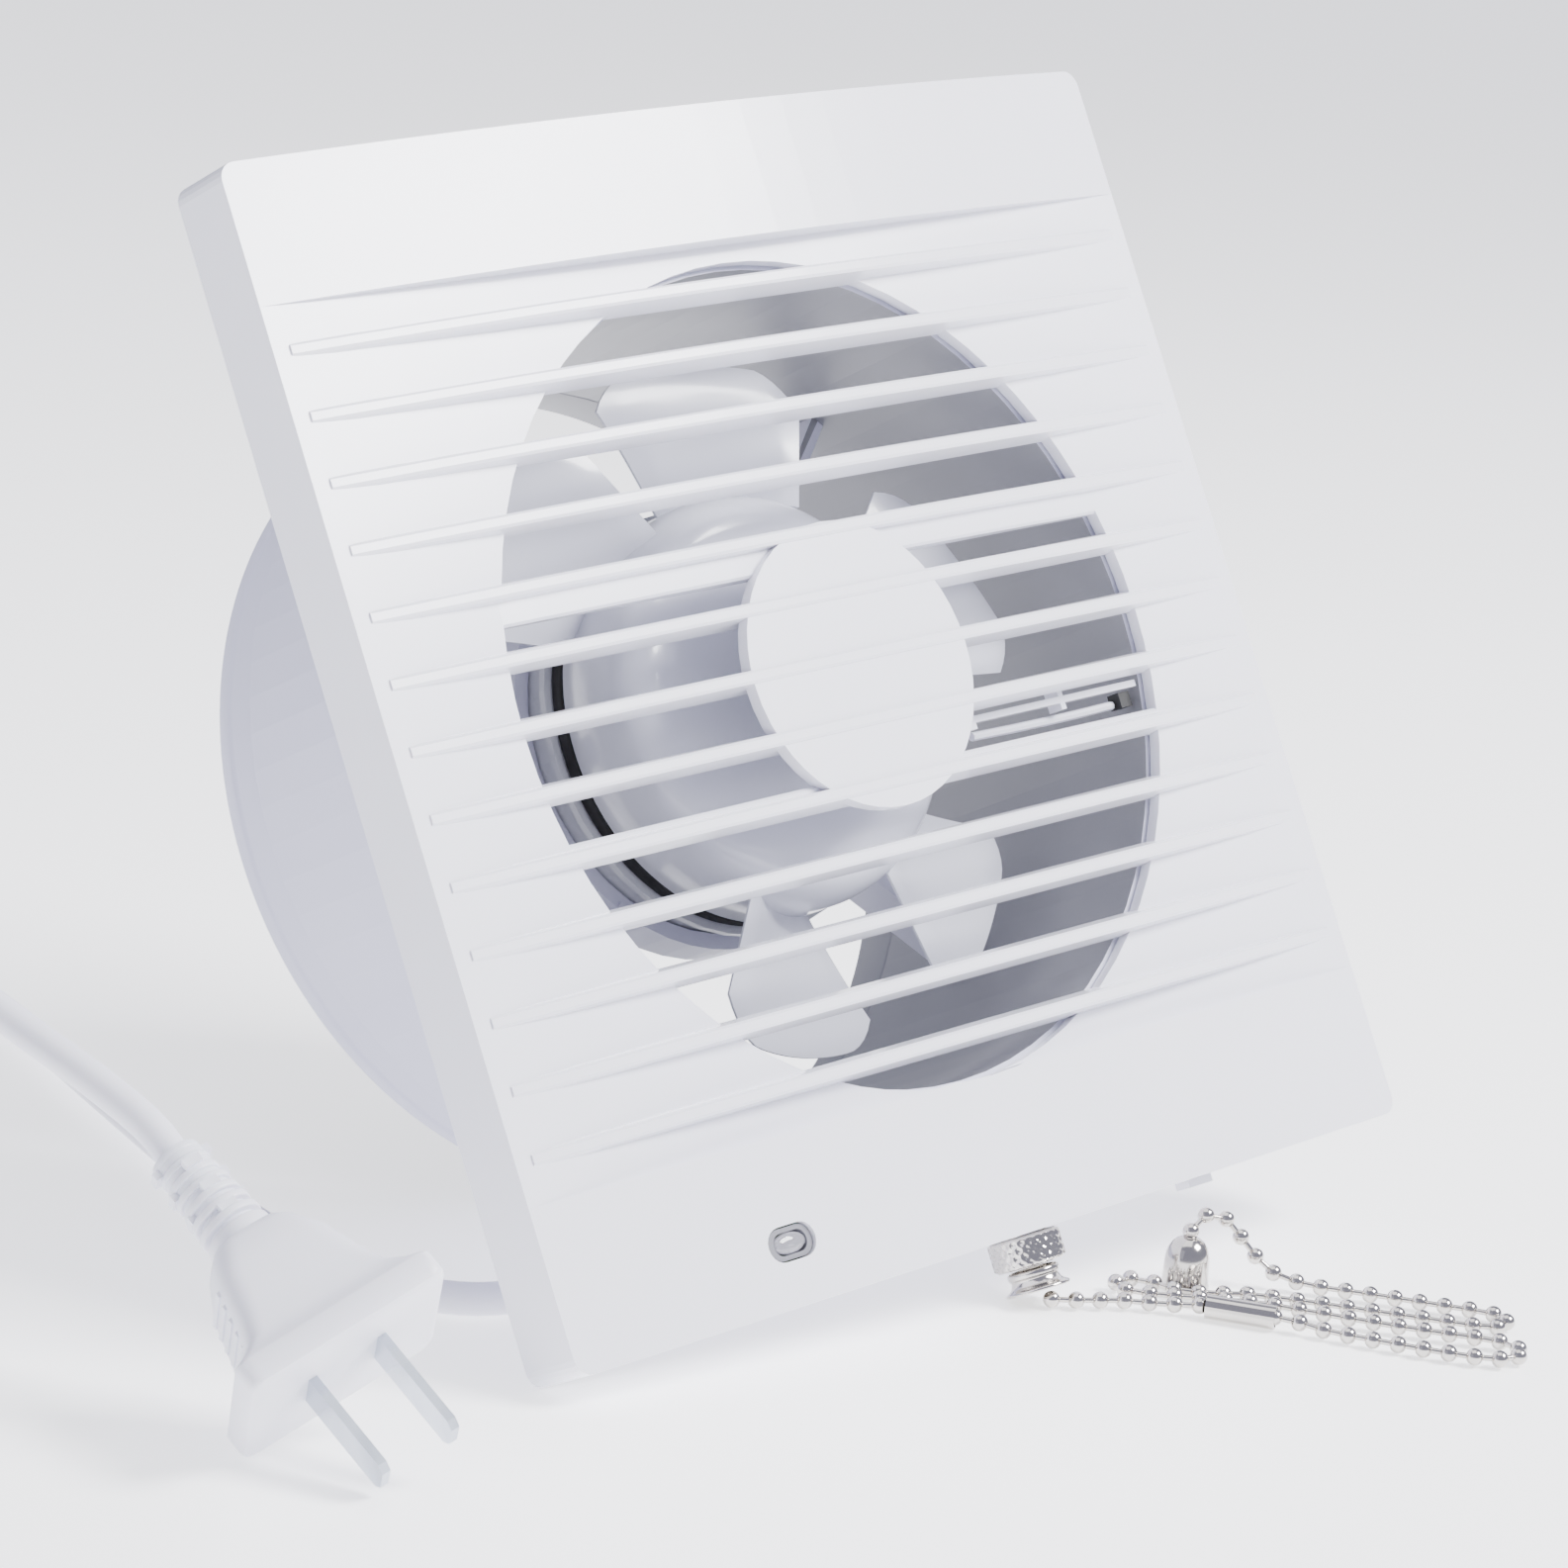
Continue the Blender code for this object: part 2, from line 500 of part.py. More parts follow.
def blade(lead_deg):
    """Twisted blade: the leading edge is clockwise and to the front."""
    chord = 8
    span = 3
    faces = []
    for side in (-1, 1):
        grid = []
        for j in range(span + 1):
            row = []
            for i in range(chord + 1):
                u = i / chord
                tip = BLADE_TIP_R - 6.5 * max(0.0, 1 - u / 0.22) ** 1.5 - 4.0 * max(0.0, (u - 0.8) / 0.2) ** 2
                v = j / span
                r = 36.2 + (tip - 36.2) * v
                sweep = 35.0 + 5.0 * v
                a = math.radians(lead_deg + sweep * u)
                rise = (17.6 + 2.4 * v) + (12.4 - 3.6 * v) * u + 1.1 * math.sin(math.pi * u)
                y = rise + side * 0.75
                row.append(Vector((r * math.cos(a), y, r * math.sin(a))) * MM)
            grid.append(row)
        faces.append(grid)
    bm = bmesh.new()
    low = [[bm.verts.new(p) for p in row] for row in faces[0]]
    high = [[bm.verts.new(p) for p in row] for row in faces[1]]
    for j in range(span):
        for i in range(chord):
            bm.faces.new((low[j][i], low[j][i + 1], low[j + 1][i + 1], low[j + 1][i]))
            bm.faces.new((high[j][i], high[j + 1][i], high[j + 1][i + 1], high[j][i + 1]))
    for i in range(chord):
        bm.faces.new((low[0][i], high[0][i], high[0][i + 1], low[0][i + 1]))
        bm.faces.new((low[span][i], low[span][i + 1], high[span][i + 1], high[span][i]))
    for j in range(span):
        bm.faces.new((low[j][0], low[j + 1][0], high[j + 1][0], high[j][0]))
        bm.faces.new((low[j][chord], high[j][chord], high[j + 1][chord], low[j + 1][chord]))
    return to_mesh(bm, "blade")


blades = [blade(lead) for lead in BLADE_LEADS]
place("impeller", join(hub, blades), ABS_IMPELLER)
bush = cut(rod(7.1, HUB_FRONT_Y + 6.7, HUB_FRONT_Y + 7.2, sides=32), [rod(SHAFT_R + 0.3, 0, 40, sides=32)])
place("thrust_washer", bush, STEEL)
nut = prism([(5.6 * math.cos(math.radians(60 * k)), 5.6 * math.sin(math.radians(60 * k))) for k in range(6)],
            HUB_FRONT_Y - 4.3, HUB_FRONT_Y - 0.3, "Y")
place("impeller_nut", cut(nut, [rod(SHAFT_R + 0.3, 0, 40, sides=32)]), STEEL)

# ---- wire support bar behind the grille and its lead -------------------------------
bar = block((27.0, 2.9, -13.4), (70.4, 4.9, -12.2))
posts = [block((50.4, 2.9, -14.6), (51.6, 6.2, -10.8)), block((26.0, 2.3, -14.6), (28.2, 6.2, -10.8))]
place("lead_support_bar", join(bar, posts), ABS_COVER)
lead = tube([(30.0, 6.2, -15.4), (40, 6.3, -15.6), (50, 6.3, -15.7), (58, 6.2, -15.7), (66.0, 6.0, -15.6)], 1.6)
place("motor_lead", lead, PVC)
clip = block((66.4, 4.0, -16.6), (69.2, 6.8, -13.8))
place("lead_grommet", clip, RUBBER)

# ---- pull switch ---------------------------------------------------------------
SWITCH = (SWITCH_X, SWITCH_Y, -100.0)
body = block((SWITCH_X - 10, -1.6, -96.6), (SWITCH_X + 10, 9.7, -80.0))
body = bevelled(body, 0.8, 2)
well = rod(3.4, -97, -82.5, (SWITCH_X, SWITCH_Y), "Z", 32)
place("switch_body", cut(body, [well]), SMOKE, SWITCH)
sleeve = turned([(4.4, -96.9), (4.4, -105.8), (2.7, -105.8), (2.7, -96.9)], 32, "Z", (SWITCH_X, SWITCH_Y))
place("switch_sleeve", sleeve, NICKEL, SWITCH)
knurl = []
teeth = 26
for level, radius in ((-100.4, 5.9), (-100.9, 6.4), (-105.3, 6.4), (-105.8, 5.9)):
    pts = []
    for k in range(2 * teeth):
        a = math.pi * k / teeth
        r = radius - (0.45 if k % 2 and radius > 6.0 else 0.0)
        pts.append((SWITCH_X + r * math.cos(a), SWITCH_Y + r * math.sin(a), level))
    knurl.append(pts)
nut_mesh = cut(loft(knurl), [rod(4.7, -110, -95, (SWITCH_X, SWITCH_Y), "Z", 32)])
place("switch_nut", nut_mesh, NICKEL, SWITCH)
mouth = turned([(3.9, -106.1), (4.6, -106.6), (4.6, -107.4), (4.1, -107.9), (4.5, -109.0), (MOUTH_R, -109.7),
                (MOUTH_R, MOUTH_Z), (4.9, MOUTH_Z), (3.4, -109.0), (3.1, -106.1)], 32, "Z",
               (SWITCH_X, SWITCH_Y))
place("switch_mouth", mouth, NICKEL, SWITCH)
plunger = turned([(0.0, -84.0), (2.6, -84.0), (2.6, -86.0), (1.3, -86.0), (1.3, -101.0), (2.2, -101.6),
                  (2.2, -104.4), (1.0, -105.0), (0.0, -105.0)], 32, "Z", (SWITCH_X, SWITCH_Y), closed=False)
place("pull_plunger", plunger, NICKEL, SWITCH)
turns = []
for k in range(5 * 9 + 1):
    a = 2 * math.pi * k / 9
    turns.append((SWITCH_X + 2.2 * math.cos(a), SWITCH_Y + 2.2 * math.sin(a), -86.6 - 9.2 * k / (5 * 9)))
place("pull_spring", tube(turns, 0.5), STEEL, SWITCH)

# ---- clip, terminal block and housing screws ----------------------------------------
tab = block((52.0, 9.0, -101.8), (58.0, 10.0, -93.0))
tab = join(tab, [block((52.0, 8.9, -101.9), (58.0, 12.4, -100.5))])
place("cover_clip", tab, ABS_COVER, (55.0, 9.5, -97.0))
block_mesh = bevelled(block((30.0, 0.6, -94.5), (48.0, 8.6, -80.5)), 0.6, 2)
screw_holes = [rod(2.2, -2, 5, (x, -87.5), sides=20) for x in (34.5, 43.5)]
place("terminal_block", cut(block_mesh, screw_holes), NYLON, (39.0, 4.0, -87.5))
for k, x in enumerate((34.5, 43.5)):
    place("terminal_screw_%d" % (k + 1), screw(1.1, 1.8, 1.9, 0.9, 4.6, (x, -87.5)), STEEL, (x, 1.9, -87.5))
number = 1
for sx in (-1, 1):
    for sz in (-1, 1):
        place("housing_screw_%d" % number, screw(1.8, 4.0, 11.1, 12.3, 4.0, (sx * 86.0, sz * 86.0)), STEEL,
              (sx * 86.0, 11.1, sz * 86.0))
        number += 1

# ---- cord gland --------------------------------------------------------------------
gland = turned([(3.1, 8.4), (5.6, 8.4), (5.6, 9.7), (3.9, 9.7), (3.9, 12.7), (6.4, 12.7), (6.4, 15.0), (4.9, 16.0),
                (4.3, 25.0), (3.1, 25.0)], 24, "Y", (GLAND_X, GLAND_Z))
place("cord_gland", gland, PVC, (GLAND_X, 12.7, GLAND_Z))


# ---- lean the fan back onto its three contacts ----------------------------------------
def stance():
    normal = np.array([0.1, -0.4, 0.9])
    for _ in range(60):
        down = -normal / np.linalg.norm(normal)
        plan_dir = np.array([down[0], down[2]])
        plan_dir /= np.linalg.norm(plan_dir)
        flat_dir = down[:2] / np.linalg.norm(down[:2])
        inset = -HALF + CORNER_R
        corner = np.array([inset + CORNER_R * plan_dir[0], COVER_DEPTH, inset + CORNER_R * plan_dir[1]])
        rim = np.array([DUCT_R * plan_dir[0], DUCT_END, DUCT_R * plan_dir[1]])
        tip = np.array([SWITCH_X + MOUTH_R * flat_dir[0], SWITCH_Y + MOUTH_R * flat_dir[1], MOUTH_Z])
        normal = np.cross(tip - corner, rim - corner)
        normal /= np.linalg.norm(normal)
        normal *= np.sign(normal[2])
    back = np.array([0.0, 1.0, 0.0])
    back = back - np.dot(back, normal) * normal
    back /= np.linalg.norm(back)
    side = np.cross(back, normal)
    return Matrix((side, back, normal)).to_4x4()


ROOT.matrix_world = stance()
bpy.context.view_layer.update()
low = Vector((1e9, 1e9, 1e9))
high = Vector((-1e9, -1e9, -1e9))
for item in PARTS.objects:
    if item.type != "MESH":
        continue
    for vert in item.data.vertices:
        p = item.matrix_world @ vert.co
        low = Vector(map(min, low, p))
        high = Vector(map(max, high, p))
ROOT.location = (-0.5 * (low.x + high.x), -0.5 * (low.y + high.y), -low.z)
bpy.context.view_layer.update()

# ---- mains cord: two runs and a coil, in the table's axes -------------------------------
CORD_ONE = [(68.5, -20.0, 11.5), (64.5, -12.5, 7.2), (56.5, -8.5, 4.2), (46.0, -8.0, 3.0), (34.0, -10.0, 3.0),
            (20.0, -13.0, 3.0), (5.0, -16.5, 3.0), (-10.0, -20.0, 3.0), (-25.0, -24.0, 3.0), (-40.0, -28.0, 3.0),
            (-54.0, -32.0, 3.0), (-66.0, -34.3, 3.0), (-75.0, -32.6, 3.0), (-81.1, -26.7, 3.0), (-84.4, -17.0, 3.0),
            (-85.3, -5.2, 3.0), (-84.6, 9.3, 3.0), (-81.4, 27.2, 3.0), (-75.7, 48.5, 3.0), (-67.8, 76.6, 3.0),
            (-61.7, 98.1, 3.0), (-54.3, 123.7, 3.0), (-48.3, 148.0, 3.0), (-50.0, 168.0, 3.0), (-59.0, 188.0, 3.0),
            (-75.0, 205.5, 3.0), (-97.0, 218.0, 3.0), (-122.0, 222.0, 3.0)]
COIL_AT = (-150.0, 165.0)
COIL_IN = 46.0
COIL_OUT = 57.6
COIL_TOP = 11.6
CORD_TWO_START = [(-205.0, 146.0, 15.2), (-203.5, 133.0, 21.5), (-200.5, 120.0, 29.0), (-196.5, 106.0, 38.0),
                  (-191.5, 91.0, 48.0), (-186.0, 74.0, 57.5), (-180.0, 57.0, 64.5), (-173.0, 41.0, 67.5),
                  (-166.0, 26.0, 65.5), (-160.0, 12.0, 61.0), (-156.0, 0.0, 56.2), (-152.5, -12.0, 51.6),
                  (-149.7, -24.0, 47.8)]
PLUG_AT = Vector((-138.5, -79.0, 15.9))
PLUG_HEADING = 11.0
PLUG_PITCH = 32.0
PLUG_ROLL = 29.0


def free_solid(name, mesh, mat, matrix=None):
    if matrix is not None:
        mesh.transform(matrix)
    return place(name, mesh, mat, parent=None)


def plug_matrix():
    """Plug axes: X across the blades, Y towards the blade tips, Z up."""
    h = math.radians(PLUG_HEADING)
    p = math.radians(PLUG_PITCH)
    r = math.radians(PLUG_ROLL)
    ahead = Vector((math.cos(p) * math.sin(h), -math.cos(p) * math.cos(h), -math.sin(p)))
    across = Vector((math.cos(h), math.sin(h), 0.0))
    above = across.cross(ahead)
    if above.z < 0:
        above = -above
    side = math.cos(r) * across + math.sin(r) * above
    up = math.cos(r) * above - math.sin(r) * across
    turn = Matrix((-side, ahead, up)).transposed()
    return Matrix.Translation(PLUG_AT * MM) @ turn.to_4x4()


PLUG = plug_matrix()
gland_line = [ROOT.matrix_world @ (Vector((GLAND_X, y, GLAND_Z)) * MM) / MM for y in (5.0, 16.0, 27.0, 36.0)]
free_solid("mains_cord_fan_end", tube([tuple(p) for p in gland_line] + CORD_ONE, CORD_D), PVC)
coil_ring = turned([(COIL_OUT, 0.2 + 1.6), (COIL_OUT, COIL_TOP - 1.6), (COIL_OUT - 1.6, COIL_TOP),
                    (COIL_IN + 1.6, COIL_TOP), (COIL_IN, COIL_TOP - 1.6), (COIL_IN, 1.8), (COIL_IN + 1.6, 0.2),
                    (COIL_OUT - 1.6, 0.2)], 48, "Z", COIL_AT)
free_solid("mains_cord_coil", coil_ring, PVC)
tail_end = [tuple((PLUG @ (Vector((0.0, y, 0.0)) * MM)) / MM) for y in (-51.0, -44.3)]
free_solid("mains_cord_plug_end", tube(CORD_TWO_START + tail_end, CORD_D), PVC)


def section(y, half_w, low_z, high_z, chamfer):
    """Eight-sided plug section at station y."""
    c = chamfer
    return [(half_w, y, low_z + c), (half_w, y, high_z - c), (half_w - c, y, high_z), (-half_w + c, y, high_z),
            (-half_w, y, high_z - c), (-half_w, y, low_z + c), (-half_w + c, y, low_z), (half_w - c, y, low_z)]


plug_sections = [(-25.6, 6.4, -6.0, 6.0, 2.8), (-24.6, 7.6, -7.0, 7.0, 3.0), (-19.0, 10.2, -8.4, 8.4, 3.4),
                 (-12.0, 11.6, -9.2, 9.2, 3.4), (-8.0, 13.2, -9.8, 9.8, 3.2), (-5.6, 16.0, -10.8, 10.8, 2.8),
                 (-4.4, 17.8, -11.8, 11.8, 2.2), (-0.8, 17.8, -11.8, 11.8, 2.2), (0.0, 17.0, -11.0, 11.0, 1.8)]
plug_body = loft([section(*row) for row in plug_sections])
grips = []
for side in (-1, 1):
    for k in range(4):
        y = -18.4 + 2.6 * k
        reach = 10.6 + 0.22 * k
        inner, outer_x = sorted((side * (reach - 0.6), side * (reach + 4)))
        grips.append(block((inner, y, -4.6), (outer_x, y + 1.0, 4.6)))
slots = [block((sx * 6.35 - 1.0, -6.0, -3.5), (sx * 6.35 + 1.0, 5, 3.5)) for sx in (-1, 1)]
plug_body = cut(plug_body, grips + slots)
free_solid("plug_body", plug_body, PVC, PLUG)
relief = turned([(3.1, -26.0), (5.9, -26.0), (5.5, -34.0), (4.9, -43.2), (4.3, -43.9), (3.1, -43.9)], 24)
slits = []
for k in range(6):
    y = -29.4 - 2.3 * k
    turn = Matrix.Rotation(math.radians(90.0 * (k % 2)), 4, "Y")
    for side in (-1, 1):
        near, far = sorted((side * 3.9, side * 9.0))
        slit = block((-6.5, y - 0.45, near), (6.5, y + 0.45, far))
        slit.transform(turn)
        slits.append(slit)
free_solid("plug_strain_relief", cut(relief, slits), PVC, PLUG)
for k, sx in enumerate((-1, 1)):
    flat = prism([(-5.7, -3.17), (17.2, -3.17), (18.4, -2.0), (18.4, 2.0), (17.2, 3.17), (-5.7, 3.17)],
                 -0.75, 0.75, "X")
    flat.transform(Matrix.Translation(Vector((sx * 6.35, 0, 0)) * MM))
    free_solid("plug_blade_%d" % (k + 1), flat, STEEL, PLUG)

# ---- pull chain: plain tube, its joining sleeve and its bell -----------------------------
CHAIN = [(17.6, -73.6, 1.6), (20.6, -75.6, 1.6), (24.5, -77.6, 1.6), (29.5, -80.4, 1.6),
         (34.0, -84.6, 1.6), (38.2, -89.6, 2.2), (46.0, -101.4, 2.2), (49.4, -108.0, 1.6), (53.4, -115.4, 1.6),
         (57.8, -122.8, 1.6), (62.4, -129.2, 1.6), (66.6, -132.8, 1.6), (71.0, -132.6, 1.6), (73.6, -129.2, 1.6),
         (72.6, -124.8, 1.6), (68.4, -119.6, 1.6), (63.4, -112.8, 1.6), (58.8, -105.8, 1.6), (54.4, -98.8, 1.6),
         (49.8, -91.6, 1.6), (43.6, -86.2, 1.6), (37.4, -80.6, 1.6), (33.6, -76.6, 1.6), (34.2, -72.6, 1.6),
         (38.0, -71.2, 1.6), (40.8, -74.0, 1.6), (41.6, -79.4, 1.6), (46.6, -84.4, 1.6), (51.4, -87.2, 1.6),
         (56.6, -93.0, 1.6), (61.4, -99.2, 1.6), (66.4, -105.8, 1.6), (71.4, -112.2, 1.6), (76.0, -118.2, 1.6),
         (79.8, -120.8, 1.6), (83.6, -118.6, 1.6), (83.8, -114.2, 1.6), (79.4, -108.0, 1.6), (74.6, -101.0, 1.6),
         (69.8, -94.4, 1.6), (65.6, -88.8, 1.7), (61.8, -84.0, 3.0), (58.6, -80.4, 7.0), (56.0, -78.2, 11.4),
         (52.8, -76.8, 13.8), (49.8, -76.4, 13.4), (48.2, -76.5, 11.4)]
free_solid("pull_chain", tube(CHAIN, CHAIN_D), NICKEL)
start = Vector((38.2, -89.6, 2.2))
run = Vector((46.0, -101.4, 2.2)) - start
sleeve_mesh = turned([(1.75, 0.6), (2.1, 0.6), (2.1, 12.6), (1.75, 12.6)], 24, "Z")
turn = run.to_track_quat("Z", "Y").to_matrix().to_4x4()
free_solid("chain_connector", sleeve_mesh, NICKEL, Matrix.Translation(start * MM) @ turn)
bell = turned([(0.0, 9.6), (2.0, 9.2), (3.3, 7.9), (3.9, 6.0), (4.1, 2.0), (4.2, 0.1), (3.2, 0.1), (3.0, 5.6),
               (2.2, 7.2), (0.0, 7.8)], 32, "Z", (47.5, -76.5), closed=False)
free_solid("chain_bell", bell, NICKEL)
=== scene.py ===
# %% [markdown]
# # Bathroom extractor fan
# A louvred cover over a round duct, with an axial impeller, a pull switch on a ball chain and
# a mains cord. The imported CAD model is the frame. Moulded parts that catch the light are made
# again here with finer curves, and the rest of the model is kept and given its materials.

# %% Load the frame
import math

import bmesh
import bpy
from mathutils import Matrix, Vector


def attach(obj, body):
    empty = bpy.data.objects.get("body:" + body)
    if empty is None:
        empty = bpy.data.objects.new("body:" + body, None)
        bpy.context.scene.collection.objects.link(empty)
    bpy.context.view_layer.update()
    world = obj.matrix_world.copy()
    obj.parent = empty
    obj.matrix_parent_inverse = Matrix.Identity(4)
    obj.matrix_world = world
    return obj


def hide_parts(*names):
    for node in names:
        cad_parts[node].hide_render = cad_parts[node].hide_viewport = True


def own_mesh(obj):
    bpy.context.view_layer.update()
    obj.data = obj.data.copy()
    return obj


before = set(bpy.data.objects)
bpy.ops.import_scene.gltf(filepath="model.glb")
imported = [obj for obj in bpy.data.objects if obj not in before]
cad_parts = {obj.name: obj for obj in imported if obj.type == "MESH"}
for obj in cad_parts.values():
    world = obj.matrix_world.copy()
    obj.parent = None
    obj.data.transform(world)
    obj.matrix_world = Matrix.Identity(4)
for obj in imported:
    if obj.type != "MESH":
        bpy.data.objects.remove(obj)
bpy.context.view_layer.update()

MM = 0.001

# %% [markdown]
# ## Dimensions
# Millimetres in the fan's own axes: X right, Y back towards the duct outlet, Z up, with the
# origin in the middle of the cover's front edge. The cover is the usual 200 mm square for a
# 150 mm duct, and the other lengths were settled from it.

# %% Driving dimensions
HALF = 100.0
DEPTH = 12.5
BULGE = 5.0
CORNER_R = 3.0
DUCT_R = 74.5
DUCT_END = 80.0
DUCT_WALL = 2.2
SEAM = 70.8
HUB_R = 37.0
HUB_Y = 13.0
SWITCH = (6.3, 6.0)
MOUTH_R = 5.7
MOUTH_Z = -110.2
LAMP = (-52.6, -89.6)
GLAND = (62.0, -84.0)
CORD_D = 5.6
BEAD_D = 3.1
BEAD_PITCH = 4.3


def bow(x):
    """Front surface of the curved cover at width x."""
    return -BULGE * (1.0 - (x / HALF) ** 2)


print("cover", 2 * HALF, "mm, duct", 2 * DUCT_R, "mm")

# %% [markdown]
# ## The lean
# The fan has no feet. It rests on a bottom corner of the cover, on the switch's mouth and on
# the lowest point of the duct's rim, so a plane through those three gives the lean. Solving it
# by repeated steps keeps the contacts true when a dimension changes. Where the fan stands on
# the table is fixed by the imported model, so that is a plain offset.


# %% Matrix from the fan's axes to the table's
def stance():
    up = Vector((0.1, -0.4, 0.9)).normalized()
    for _ in range(60):
        plan = Vector((-up.x, -up.z)).normalized()
        flat = Vector((-up.x, -up.y)).normalized()
        inset = -HALF + CORNER_R
        corner = Vector((inset + CORNER_R * plan.x, DEPTH, inset + CORNER_R * plan.y))
        rim = Vector((DUCT_R * plan.x, DUCT_END, DUCT_R * plan.y))
        mouth = Vector((SWITCH[0] + MOUTH_R * flat.x, SWITCH[1] + MOUTH_R * flat.y, MOUTH_Z))
        up = (mouth - corner).cross(rim - corner).normalized()
        up = up if up.z > 0 else -up
    back = (Vector((0, 1, 0)) - up.y * up).normalized()
    return Matrix((back.cross(up), back, up)).to_4x4()


FAN_AT = Vector((0.0, -27.27, 102.64))
FAN = Matrix.Translation(FAN_AT * MM) @ stance()
print("lean", round(math.degrees(math.acos(FAN[2][2])), 1), "degrees")

# %% [markdown]
# ## Colour and one small node helper
# Colours are written as sRGB hex and turned into linear light. Every material is built from
# noise in the piece's own coordinates, so the grain stays with a piece that moves, and its
# scale is one over a size in metres.


# %% Helpers for materials
def linear(text):
    """An sRGB hex colour as linear light with full alpha."""
    values = [int(text[i:i + 2], 16) / 255 for i in (1, 3, 5)]
    return tuple(v / 12.92 if v <= 0.04045 else ((v + 0.055) / 1.055) ** 2.4 for v in values) + (1.0,)


def add(tree, kind, inputs=None, **settings):
    """One shader node with its settings, its constants and its links."""
    made = tree.nodes.new("ShaderNode" + kind)
    for key, value in settings.items():
        setattr(made, key, value)
    for socket, value in (inputs or {}).items():
        if isinstance(value, bpy.types.NodeSocket):
            tree.links.new(value, made.inputs[socket])
        else:
            made.inputs[socket].default_value = value
    return made


def material(name, light, dark, rough, grain_mm, bump_mm=0.0, stretch=(1, 1, 1), **shader_inputs):
    """Principled material: mottled colour, uneven gloss and a fine surface grain."""
    mat = bpy.data.materials.new(name)
    mat.use_nodes = True
    tree = mat.node_tree
    shader = tree.nodes["Principled BSDF"]
    place = add(tree, "TexCoord").outputs["Object"]
    place = add(tree, "Mapping", {"Vector": place, "Scale": stretch}).outputs["Vector"]
    per_metre = 1.0 / (grain_mm * MM)
    cloud = add(tree, "TexNoise", {"Vector": place, "Scale": per_metre / 12, "Detail": 3.0}).outputs["Fac"]
    grain = add(tree, "TexNoise", {"Vector": place, "Scale": per_metre, "Detail": 4.0}).outputs["Fac"]
    ramp = add(tree, "Mix", {"Factor": cloud}, data_type="RGBA")
    ramp.inputs[6].default_value = linear(light)
    ramp.inputs[7].default_value = linear(dark)
    tree.links.new(ramp.outputs[2], shader.inputs["Base Color"])
    gloss = add(tree, "MapRange", {"Value": cloud, "From Min": 0.3, "From Max": 0.7,
                                   "To Min": 0.9 * rough, "To Max": 1.12 * rough}).outputs["Result"]
    tree.links.new(gloss, shader.inputs["Roughness"])
    if bump_mm:
        bump = add(tree, "Bump", {"Height": grain, "Distance": bump_mm * MM, "Strength": 0.6})
        tree.links.new(bump.outputs["Normal"], shader.inputs["Normal"])
    for socket, value in shader_inputs.items():
        shader.inputs[socket.replace("_", " ")].default_value = value
    mat.diffuse_color = linear(light)
    return mat


print("helpers ready")

# %% [markdown]
# ## Materials
# Injection-moulded ABS is glossy with a very faint flow mottle, and a little light passes
# into it. The duct is the same ABS from a duller tool. Inside the drum it is painted a darker
# grey, which is painted shade. The cord and plug are softer PVC with a fine grain. The chain,
# the switch and the plug's blades are nickel-plated brass, the screws zinc-plated steel. A
# metal keeps the default IOR; a plastic's is the usual one for it.

# %% Make the materials
ABS_COVER = material("abs_gloss_cover", "#F0F0F7", "#E9E9F3", 0.22, 3.0, 0.004, IOR=1.53,
                     Coat_Weight=0.25, Coat_Roughness=0.12, Subsurface_Weight=0.04, Subsurface_Scale=0.002)
ABS_DUCT = material("abs_duct", "#DEDEEE", "#D3D3E8", 0.34, 4.0, 0.006, IOR=1.53)
# darker grey for the inside of the drum: painted shade on the same ABS as the duct
ABS_INSIDE_PAINTED_SHADE = material("abs_duct_inside_painted_shade", "#97979C", "#88888E", 0.36, 4.0, 0.006, IOR=1.53)
ABS_FAN = material("abs_impeller", "#E6E7F0", "#DCDDEA", 0.2, 3.0, 0.003, IOR=1.53, Coat_Weight=0.3,
                   Coat_Roughness=0.08)
ABS_CUP = material("abs_motor_cup", "#D9DAE0", "#CFD0D8", 0.3, 3.0, 0.004, IOR=1.53)
# black rubber for the lead grommet; on the ring in the hub gap the same black is painted shadow
BLACK_RUBBER_AND_GAP_SHADOW = material("nitrile_rubber", "#0B0B0D", "#141417", 0.55, 0.8, 0.02, IOR=1.52)
PVC = material("flexible_pvc", "#F0F0F8", "#E8E8F3", 0.4, 1.4, 0.012, IOR=1.54, Subsurface_Weight=0.06,
               Subsurface_Scale=0.002)
NICKEL = material("nickel_plated_brass", "#D2CEC9", "#B7B3AF", 0.13, 0.8, 0.002, Metallic=1.0)
BLADE = material("nickel_plated_blade", "#C6CCD6", "#A9B0BC", 0.2, 0.5, 0.003, (1, 1, 0.08), Metallic=1.0)
ZINC = material("zinc_plated_steel", "#B9BCC0", "#9DA1A6", 0.3, 0.6, 0.004, Metallic=1.0)
IRON = material("silicon_steel", "#6E7074", "#4B4D50", 0.42, 0.5, 0.02, (1, 12, 1), Metallic=1.0)
COPPER = material("enamelled_copper", "#B4623A", "#8A3F20", 0.32, 0.3, 0.05, (14, 1, 1), Metallic=1.0)
BRONZE = material("sintered_bronze", "#A98353", "#8A6639", 0.5, 0.4, 0.02, Metallic=1.0)
NYLON = material("natural_nylon", "#E9E4D6", "#DED8C8", 0.42, 1.0, 0.01, IOR=1.53)
GREY_PC = material("grey_polycarbonate", "#85858C", "#74747B", 0.28, 1.2, 0.004, IOR=1.58)
CLEAR_PC = material("clear_polycarbonate", "#E3E2EA", "#CFCED9", 0.08, 1.0, 0.0, IOR=1.58,
                    Transmission_Weight=0.7)
BOARD = material("phenolic_paper", "#6F7F4B", "#56663A", 0.5, 0.8, 0.01, IOR=1.6)
print(len(bpy.data.materials), "materials")

# %% [markdown]
# ## Kept nodes
# Hidden and plain pieces stay as packed, which keeps them where the CAD has them. Each gets
# its material here, and a node that is made again further down is hidden there.

